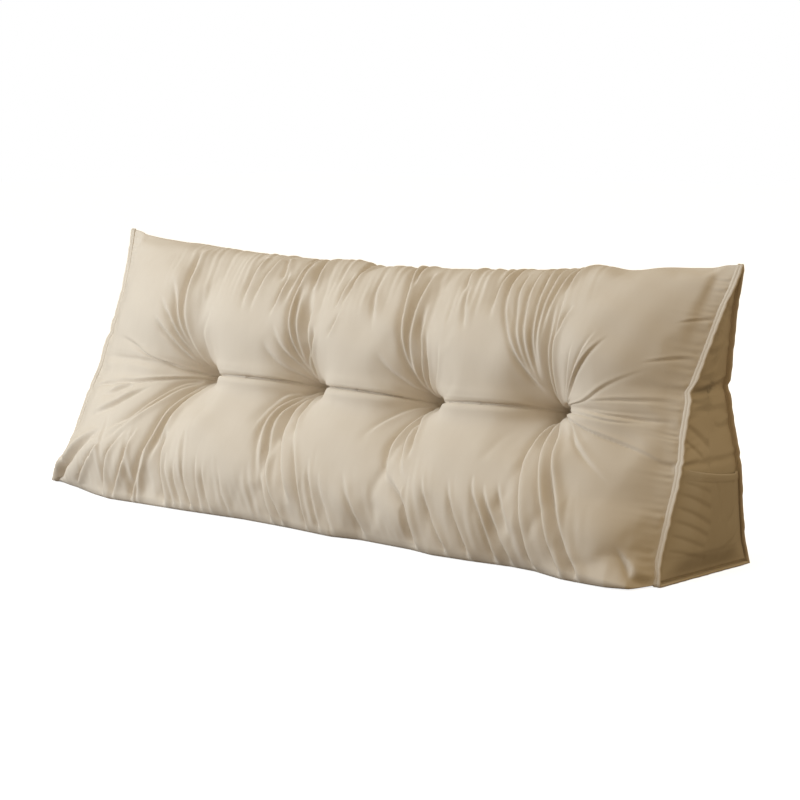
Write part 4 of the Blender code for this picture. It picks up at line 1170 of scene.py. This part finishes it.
def seam_frame(points, s, side):
    """Seam points round one end and, at each, the way the flange stands out, with an ear at each corner."""
    seam = points[-1] if side > 0.0 else points[0]
    toe, ridge, heel = CORNER_STATIONS
    reach = np.zeros((len(s), 2))
    for low, high, start, stop in ((toe, ridge, SEAM_FRONT, SEAM_TOP), (ridge, heel, SEAM_TOP, SEAM_BACK)):
        run = np.array(stop) - np.array(start)
        run /= np.linalg.norm(run)
        reach[(s > low) & (s < high)] = (-run[1], run[0])
    for corner, ear in zip(CORNER_STATIONS, EARS):
        away = np.linalg.norm(seam - seam[np.argmin(np.abs(s - corner))], axis=1)
        near = np.exp(-((away / EAR_REACH) ** 2))[:, None]
        reach = reach * (1.0 - near) + np.array(ear) * near
    out = np.column_stack([np.full(len(s), side * FLANGE_SLANT[0]), reach * FLANGE_SLANT[1]])
    return seam, out


def across_path(path, out):
    """Unit vectors square to the path and to the way out, once round."""
    step = np.roll(path, -1, axis=0) - path
    step /= np.linalg.norm(step, axis=1, keepdims=True)
    along = step + np.roll(step, 1, axis=0)
    across = np.cross(along, out)
    return across / np.linalg.norm(across, axis=1, keepdims=True)


# Cross-section of the flange: share of its width out from the seam, share of its half thickness
FLANGE_SECTION = (
    (-0.20, 0.80), (0.08, 0.95), (0.26, 0.90), (0.34, 0.62), (0.42, 0.90), (0.60, 1.08), (0.80, 1.05),
    (0.94, 0.75), (1.00, 0.0), (0.94, -0.75), (0.80, -1.05), (0.60, -1.08), (0.42, -0.90), (0.34, -0.62),
    (0.26, -0.90), (0.08, -0.95), (-0.20, -0.80),
)
STITCH_LINE = 0.34


def flange_piece(name, points, s, side, settings, material):
    """A flat two-ply welt swept round the end seam, with a stitched-down line and a round edge."""
    path, out = seam_frame(points, s, side)
    across = across_path(path, out)
    distance = np.concatenate([[0.0], np.cumsum(np.linalg.norm(np.diff(path, axis=0), axis=1))])
    sway = 1.0 + 0.05 * waves(distance, 0.02, 0.09, 4, 51 + int(side))
    half = 0.5 * settings.flange_thickness
    rings = [
        path + out * (share * settings.flange_width * sway[:, None]) + across * (half * lift)
        for share, lift in FLANGE_SECTION
    ]
    corners = np.stack(rings, axis=1)
    corners[..., 2] = np.maximum(corners[..., 2], FLOOR_GAP)
    faces = grid_quads(*corners.shape[:2], closed_columns=True, closed_rows=True)
    return mesh_object(name, corners.reshape(-1, 3), np.roll(faces, -1, axis=1), material)


def stitch_row(name, path, lift, pitch, material):
    """A row of short thread stitches laid along a path: each a six-sided spindle with pointed ends."""
    steps = np.linalg.norm(np.diff(path, axis=0), axis=1)
    distance = np.concatenate([[0.0], np.cumsum(steps)])
    count = int(distance[-1] / pitch)
    starts = (np.arange(count) + 0.5) * pitch
    shares = np.array([-0.5, -0.3, 0.0, 0.3, 0.5])
    swell = np.array([0.25, 0.85, 1.0, 0.85, 0.25])
    where = starts[:, None] + shares * STITCH_LENGTH
    spot = np.stack([np.interp(where, distance, path[:, axis]) for axis in range(3)], axis=-1)
    up = np.stack([np.interp(starts, distance, lift[:, axis]) for axis in range(3)], axis=-1)
    up /= np.linalg.norm(up, axis=1, keepdims=True)
    ahead = spot[:, -1] - spot[:, 0]
    ahead /= np.linalg.norm(ahead, axis=1, keepdims=True)
    side = np.cross(up, ahead)
    turn = np.arange(6) / 6.0 * 2.0 * np.pi
    ring = side[:, None, :] * np.cos(turn)[:, None] + up[:, None, :] * np.sin(turn)[:, None]
    sink = np.array([-0.6, 0.0, 0.25, 0.0, -0.6]) * STITCH_RADIUS
    spot = spot + up[:, None, :] * sink[:, None]
    points = spot[:, :, None, :] + ring[:, None, :, :] * (STITCH_RADIUS * swell)[:, None, None]
    rings, sides = len(shares), len(turn)
    base = (np.arange(count) * rings * sides)[:, None]
    one = grid_quads(rings, sides, closed_rows=True)[:, [0, 3, 2, 1]]
    quads = (base[..., None] + one).reshape(-1, 4)
    first = base + np.arange(sides)[::-1]
    last = base + (rings - 1) * sides + np.arange(sides)
    return mesh_object(name, points.reshape(-1, 3), [quads, np.concatenate([first, last])], material)


def pocket_hem_z(share):
    """Height of the pocket's hem: lower at the back, with a slight sag between."""
    level = POCKET_HEM_FRONT_Z + (POCKET_HEM_BACK_Z - POCKET_HEM_FRONT_Z) * share
    return level - POCKET_HEM_SAG * 4.0 * share * (1.0 - share)


def pocket_surface(share, rise):
    """Points on the inner face of the pocket: share from the front seam to the back, rise from the bottom
    seam to the hem. It stands off the crowned panel by its slack and carries the soft folds of the cloth."""
    bottom = SEAM_FRONT[1] + POCKET_INSET
    z = bottom + (pocket_hem_z(share) - bottom) * rise
    up = (z - SEAM_FRONT[1]) / (SEAM_TOP[1] - SEAM_FRONT[1])
    front_y = SEAM_FRONT[0] + (SEAM_TOP[0] - SEAM_FRONT[0]) * up + POCKET_INSET
    back_y = SEAM_BACK[0] + (SEAM_TOP[0] - SEAM_BACK[0]) * up - POCKET_INSET
    y = front_y + (back_y - front_y) * share
    sides = smooth(0.0, 0.26, share) * smooth(0.0, 0.26, 1.0 - share)
    slack = POCKET_SLACK * sides * smooth(0.0, 0.24, rise)
    width = SEAM_BACK[0] - SEAM_FRONT[0]
    calm = smooth(0.0, 0.10, share) * smooth(0.0, 0.10, 1.0 - share) * (1.0 - smooth(0.86, 0.97, rise))
    drawn = fold_relief(panel_share(y, z) * width, z, scaled_folds(POCKET_FOLDS, width))
    folds = POCKET_FOLD_SHARE * drawn * calm
    front, back, bottom_gap = edge_distances(y, z)
    edge = (front**-3.0 + back**-3.0 + bottom_gap**-3.0) ** (-1.0 / 3.0)
    panel = END_CROWN * (1.0 - np.exp(-edge / END_CROWN_REACH)) + SEAM_X
    x = panel - seam_draw(np.ones_like(y), z) + POCKET_GAP + slack + np.maximum(folds, -0.8 * slack)
    return np.stack([x, y, z], axis=-1)


def pocket_piece(settings, material):
    """The slip pocket: one sheet, thicker along its folded hem, with a dip where the hem is stitched."""
    share, rise = np.meshgrid(np.linspace(0.0, 1.0, 97), np.linspace(0.0, 1.0, 81), indexing="ij")
    inner = pocket_surface(share, rise)
    below_edge = (1.0 - rise) * (inner[:, -1:, 2] - inner[:, :1, 2])
    hem = 1.0 - smooth(settings.hem_depth, settings.hem_depth + 0.0015, below_edge)
    dip = np.exp(-(((below_edge - settings.hem_depth + 0.0015) / 0.0011) ** 2))
    round_edge = smooth(0.0, 0.0018, below_edge)
    thickness = 0.0014 + 0.0012 * hem - 0.0007 * dip
    thickness = POCKET_CLOTH + (thickness - POCKET_CLOTH) * (0.35 + 0.65 * round_edge)
    outer = inner + np.stack([thickness, np.zeros_like(rise), np.zeros_like(rise)], axis=-1)
    columns, rows = share.shape
    layer = columns * rows
    quads = grid_quads(columns, rows)[:, [0, 3, 2, 1]]
    rim = np.concatenate([
        np.arange(columns) * rows,
        (columns - 1) * rows + np.arange(1, rows),
        np.arange(columns - 2, -1, -1) * rows + rows - 1,
        np.arange(rows - 2, 0, -1),
    ])
    follow = np.roll(rim, -1)
    edge = np.stack([rim, follow, follow + layer, rim + layer], -1)
    points = np.concatenate([inner.reshape(-1, 3), outer.reshape(-1, 3)])
    faces = np.concatenate([quads, quads[:, ::-1] + layer, edge])
    piece = mesh_object("pocket_cloth", points, faces, material)
    seam_row = np.argmin(np.abs(below_edge[0] - settings.hem_depth + 0.0015))
    return piece, outer[:, seam_row], inner


def cloth_size(inner):
    """Width, length and area of the sheet as it would lie flat, from its own inner face."""
    width = np.linalg.norm(np.diff(inner, axis=0), axis=2).sum(axis=0)
    length = np.linalg.norm(np.diff(inner, axis=1), axis=2).sum(axis=1)
    a = inner[1:, :-1] - inner[:-1, :-1]
    b = inner[:-1, 1:] - inner[:-1, :-1]
    area = float(np.linalg.norm(np.cross(a, b), axis=2).sum())
    return float(width.max()), float(length.max()), area


def tuft_floor(tuft):
    """Deepest point of a tuft, found on the wrap before its folds, as in the CAD model."""
    stations = np.linspace(GROOVE - 0.6, GROOVE + 0.6, 121)
    line = wrap_surface(np.array([tuft[0] - 0.001, tuft[0], tuft[0] + 0.001]), stations)[0][1]
    return line[np.argmax(line[:, 1])]


def button_piece(name, tuft, settings, material):
    """A small covered button: a flattened dome turned about its axis, its cloth gathered towards the back."""
    floor = tuft_floor(tuft)
    rings, sides = 22, 40
    round_it = np.arange(sides) / sides * 2.0 * np.pi
    polar, turn = np.meshgrid(np.linspace(0.0, np.pi, rings), round_it, indexing="ij")
    gather = 1.0 + 0.025 * smooth(0.35, 0.6, polar / np.pi) * np.cos(12.0 * turn)
    radius = settings.button_radius * np.sin(polar) ** 0.85 * gather
    thick = 0.5 * settings.button_thickness * np.cos(polar)
    dimple = -0.0006 * np.exp(-((radius / 0.0022) ** 2)) * (polar < 1.2)
    local = np.stack([radius * np.cos(turn), radius * np.sin(turn), thick + dimple], axis=-1)
    y = local[..., 1] * math.cos(BUTTON_TILT) - local[..., 2] * math.sin(BUTTON_TILT)
    z = local[..., 1] * math.sin(BUTTON_TILT) + local[..., 2] * math.cos(BUTTON_TILT)
    points = np.stack([local[..., 0] + floor[0], y + floor[1] - BUTTON_STANDOFF, z + floor[2]], axis=-1)
    body = points[1:-1].reshape(-1, 3)
    points = np.concatenate([body, points[:1, 0], points[-1:, 0]])
    ring = np.arange(sides)
    last = (rings - 3) * sides
    front = np.stack([ring, np.roll(ring, -1), np.full(sides, len(body))], -1)
    back = np.stack([last + np.roll(ring, -1), last + ring, np.full(sides, len(body) + 1)], -1)
    return mesh_object(name, points, [grid_quads(rings - 2, sides, closed_rows=True), front, back], material)


def lamp(name, place, aim, size, power, colour):
    """A soft square light at a place, turned to its aim."""
    data = bpy.data.lights.new(name, "AREA")
    data.shape = "RECTANGLE"
    data.size, data.size_y = size
    data.energy = power
    data.color = colour
    light = bpy.data.objects.new(name, data)
    light.location = place
    away = np.array(place) - np.array(aim)
    flat = math.hypot(away[0], away[1])
    light.rotation_euler = (math.atan2(flat, away[2]), 0.0, math.atan2(away[0], -away[1]))
    light.visible_camera = False
    bpy.context.scene.collection.objects.link(light)
    return light


def seen_by_camera(tree, seen, unseen, output):
    """Shows one shader to the camera and gives another to every other ray."""
    rays = tree.nodes.new("ShaderNodeLightPath")
    choose = tree.nodes.new("ShaderNodeMixShader")
    tree.links.new(rays.outputs["Is Camera Ray"], choose.inputs[0])
    tree.links.new(unseen.outputs[0], choose.inputs[1])
    tree.links.new(seen.outputs[0], choose.inputs[2])
    tree.links.new(choose.outputs[0], tree.nodes[output].inputs["Surface"])


def floor_paint(settings):
    """Matt white that glows towards the camera and gives only a soft warm bounce to the object."""
    material = bpy.data.materials.new("floor_paint")
    material.use_nodes = True
    shader = material.node_tree.nodes["Principled BSDF"]
    shader.inputs["Base Color"].default_value = tuple(settings.floor) + (1.0,)
    shader.inputs["Roughness"].default_value = 0.9
    shader.inputs["Specular IOR Level"].default_value = 0.1
    shader.inputs["Emission Color"].default_value = (1.0, 1.0, 1.0, 1.0)
    shader.inputs["Emission Strength"].default_value = settings.floor_glow
    bounce = material.node_tree.nodes.new("ShaderNodeBsdfDiffuse")
    bounce.inputs["Color"].default_value = tuple(settings.bounce) + (1.0,)
    seen_by_camera(material.node_tree, shader, bounce, "Material Output")
    return material


def studio_world(settings):
    """White all round for the camera, and a soft warm fill for the object."""
    world = bpy.data.worlds.new("studio")
    world.use_nodes = True
    fill = world.node_tree.nodes["Background"]
    fill.inputs["Color"].default_value = tuple(settings.fill) + (1.0,)
    fill.inputs["Strength"].default_value = settings.fill_level
    wall = world.node_tree.nodes.new("ShaderNodeBackground")
    wall.inputs["Color"].default_value = (1.0, 1.0, 1.0, 1.0)
    wall.inputs["Strength"].default_value = 1.0
    seen_by_camera(world.node_tree, wall, fill, "World Output")
    return world


def photo_camera():
    """Camera with the photograph's place, turn and lens."""
    data = bpy.data.cameras.new("camera")
    data.lens = CAMERA_LENS
    data.sensor_width = CAMERA_SENSOR
    data.clip_end = 100.0
    camera = bpy.data.objects.new("camera", data)
    camera.location = CAMERA_PLACE
    camera.rotation_euler = CAMERA_TURN
    return camera


class CushionSettings(bpy.types.PropertyGroup):
    """Sizes and colours of the padded body"""

    fold_scale: bpy.props.FloatProperty(
        name="Fold depth", description="Scale of every fold and crease", default=1.0, min=0.0, max=2.0,
        subtype="FACTOR"
    )
    pressure: bpy.props.FloatProperty(
        name="Filling pressure", description="Pressure of the filling while the cloth settles",
        default=4.0, min=0.0
    )
    extra_cloth: bpy.props.FloatProperty(
        name="Extra cloth", description="How much larger the cloth is than the shape it covers",
        default=0.035, min=0.0
    )
    cloth: bpy.props.FloatVectorProperty(
        name="Velvet", description="Colour of the pile that faces the light", default=(0.745, 0.668, 0.568),
        size=3, subtype="COLOR"
    )
    shade: bpy.props.FloatVectorProperty(
        name="Brushed velvet", description="Colour where the pile is brushed away",
        default=(0.665, 0.585, 0.485), size=3, subtype="COLOR"
    )


class TrimSettings(bpy.types.PropertyGroup):
    """Sizes of the flanges, pocket, buttons and stitches"""

    flange_width: bpy.props.FloatProperty(
        name="Flange width", description="How far the welt stands out from the seam",
        default=0.0104, unit="LENGTH"
    )
    flange_thickness: bpy.props.FloatProperty(
        name="Flange thickness", description="Thickness of the folded welt", default=0.0042, unit="LENGTH"
    )
    hem_depth: bpy.props.FloatProperty(
        name="Hem depth", description="Depth of the pocket's folded hem", default=0.012, unit="LENGTH"
    )
    button_radius: bpy.props.FloatProperty(
        name="Button radius", description="Radius of the covered buttons", default=0.0048, unit="LENGTH"
    )
    button_thickness: bpy.props.FloatProperty(
        name="Button thickness", description="Thickness of the covered buttons", default=0.0042, unit="LENGTH"
    )
    stitch_pitch: bpy.props.FloatProperty(
        name="Stitch pitch", description="Distance from stitch to stitch", default=0.0042, unit="LENGTH"
    )


class StageSettings(bpy.types.PropertyGroup):
    """Floor and light"""

    floor: bpy.props.FloatVectorProperty(
        name="Floor", description="Colour of the floor", default=(0.86, 0.86, 0.86), size=3, subtype="COLOR"
    )
    floor_glow: bpy.props.FloatProperty(
        name="Floor glow", description="Keeps the far floor as pale as the backdrop", default=0.85, min=0.0
    )
    bounce: bpy.props.FloatVectorProperty(
        name="Floor bounce", description="Colour that the floor gives back to the object",
        default=(0.20, 0.15, 0.10), size=3, subtype="COLOR"
    )
    key_power: bpy.props.FloatProperty(
        name="Key light", description="Power of the large light on the left", default=30.5, unit="POWER"
    )
    fill: bpy.props.FloatVectorProperty(
        name="Fill colour", description="Colour of the light from all round", default=(1.0, 0.756, 0.414),
        size=3, subtype="COLOR"
    )
    fill_level: bpy.props.FloatProperty(
        name="Fill", description="Strength of the light from all round", default=0.406, min=0.0
    )


class PILLOW_OT_cushion(bpy.types.Operator):
    """Build the padded body: wrap panel and end panels in one closed form"""

    bl_idname = "pillow.cushion"
    bl_label = "Cushion body"

    def execute(self, context):
        settings = context.scene.pillow_cushion
        points, s = wrap_grid(settings)
        SHARED["wrap"] = (points, s)
        vertices, quads, fans = closed_body(points, END_RINGS)
        material = velvet("wrap_velvet", settings.cloth, settings.shade)
        piece = mesh_object("cushion_cloth", vertices, [quads, fans], material)
        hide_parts("cushion")
        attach(piece, BODY)
        return {"FINISHED"}


class PILLOW_OT_flanges(bpy.types.Operator):
    """Build the seam flange round each end, with its rows of stitches"""

    bl_idname = "pillow.flanges"
    bl_label = "Seam flanges"

    def execute(self, context):
        settings = context.scene.pillow_trim
        colours = context.scene.pillow_cushion
        points, s = SHARED["wrap"]
        material = velvet("flange_velvet", colours.cloth, colours.shade, 22.0, 0.7, 0.0003)
        thread = velvet("thread", colours.shade, [0.8 * c for c in colours.shade], 60.0, 0.6, 0.0001)
        for word, side in (("left", -1.0), ("right", 1.0)):
            name = "seam_flange_" + word
            piece = flange_piece(name + "_cloth", points, s, side, settings, material)
            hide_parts(name)
            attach(piece, BODY)
            path, out = seam_frame(points, s, side)
            across = across_path(path, out)
            line = path + out * (settings.flange_width * STITCH_LINE)
            face = 0.5 * settings.flange_thickness * 0.66
            for number, turn in enumerate((1.0, -1.0), start=1):
                laid = line + across * (turn * face)
                keep = laid[:, 2] > 2.0 * FLOOR_GAP
                stitches = stitch_row(
                    f"{name}_stitches_{number}", laid[keep], across[keep] * turn,
                    settings.stitch_pitch, thread
                )
                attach(stitches, BODY)
        return {"FINISHED"}


class PILLOW_OT_pocket(bpy.types.Operator):
    """Build the slip pocket on the right end, with its hem stitches"""

    bl_idname = "pillow.pocket"
    bl_label = "Side pocket"

    def execute(self, context):
        settings = context.scene.pillow_trim
        colours = context.scene.pillow_cushion
        # The pocket's velvet colours are dimmed by a fixed share: painted shade
        dimmed = [[POCKET_PAINTED_SHADE * c for c in colour] for colour in (colours.cloth, colours.shade)]
        material = velvet("pocket_velvet", *dimmed, 12.0, 0.6)
        thread = bpy.data.materials["thread"]
        piece, line, inner = pocket_piece(settings, material)
        width, length, area = cloth_size(inner)
        lift = np.tile([1.0, 0.0, 0.0], (len(line), 1))
        stitches = stitch_row("pocket_hem_stitches", line[2:-2], lift[2:-2], settings.stitch_pitch, thread)
        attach(stitches, BODY)
        print("pocket flat size", round(width, 4), round(length, 4), "area", round(area, 5))
        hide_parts("pocket")
        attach(piece, BODY)
        return {"FINISHED"}


class PILLOW_OT_buttons(bpy.types.Operator):
    """Build the four covered buttons in the tufts"""

    bl_idname = "pillow.buttons"
    bl_label = "Tuft buttons"

    def execute(self, context):
        settings = context.scene.pillow_trim
        colours = context.scene.pillow_cushion
        # The button covers are the brushed velvet darkened by fixed shares: painted shade of the deep tuft
        # pits
        dark = [share * c for share, c in zip(BUTTON_PAINTED_SHADE, colours.shade)]
        material = velvet("button_velvet", dark, [0.85 * c for c in dark], 40.0, 0.6, 0.0002)
        for number, tuft in enumerate(TUFTS, start=1):
            name = f"button_{number}"
            piece = button_piece(name + "_cover", tuft, settings, material)
            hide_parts(name)
            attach(piece, BODY)
        return {"FINISHED"}


class PILLOW_OT_stage(bpy.types.Operator):
    """Set the floor, the lights and the camera"""

    bl_idname = "pillow.stage"
    bl_label = "Stage and camera"

    def execute(self, context):
        settings = context.scene.pillow_stage
        flat = np.array([(-1.0, -1.0, 0.0), (1.0, -1.0, 0.0), (1.0, 1.0, 0.0), (-1.0, 1.0, 0.0)])
        paint = floor_paint(settings)
        floor = mesh_object("floor", FLOOR_REACH * flat, np.array([[0, 1, 2, 3]]), paint, shift=False)
        context.scene.world = studio_world(settings)
        for name, place, aim, size, share, colour in LAMPS:
            lamp(name, place, aim, size, share * settings.key_power, colour)
        camera = photo_camera()
        context.scene.collection.objects.link(camera)
        context.scene.camera = camera
        context.scene.view_settings.view_transform = "Standard"
        context.scene.view_settings.look = "None"
        return {"FINISHED"}


class PILLOW_PT_sidebar(bpy.types.Panel):
    """The pillow's pieces and settings"""

    bl_idname = "PILLOW_PT_sidebar"
    bl_label = "Backrest pillow"
    bl_space_type = "VIEW_3D"
    bl_region_type = "UI"
    bl_category = "Pillow"

    def draw(self, context):
        column = self.layout.column(align=True)
        for operator in OPERATORS:
            column.operator(operator.bl_idname)
        for name, group in GROUPS.items():
            box = self.layout.box()
            for key in group.__annotations__:
                box.prop(getattr(context.scene, name), key)


SHARED = {}
GROUPS = {"pillow_cushion": CushionSettings, "pillow_trim": TrimSettings, "pillow_stage": StageSettings}
OPERATORS = (PILLOW_OT_cushion, PILLOW_OT_flanges, PILLOW_OT_pocket, PILLOW_OT_buttons, PILLOW_OT_stage)


def register():
    """Registers the classes and hangs the settings on the scene."""
    for cls in tuple(GROUPS.values()) + OPERATORS + (PILLOW_PT_sidebar,):
        bpy.utils.register_class(cls)
    for name, group in GROUPS.items():
        setattr(bpy.types.Scene, name, bpy.props.PointerProperty(type=group))


def unregister():
    """Takes the settings and the classes off again."""
    for name in GROUPS:
        delattr(bpy.types.Scene, name)
    for cls in reversed(tuple(GROUPS.values()) + OPERATORS + (PILLOW_PT_sidebar,)):
        bpy.utils.unregister_class(cls)


def main():
    """Builds every piece in order."""
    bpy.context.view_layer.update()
    register()
    bpy.ops.pillow.cushion()
    bpy.ops.pillow.flanges()
    bpy.ops.pillow.pocket()
    bpy.ops.pillow.buttons()
    bpy.ops.pillow.stage()


if __name__ == "__main__":
    main()
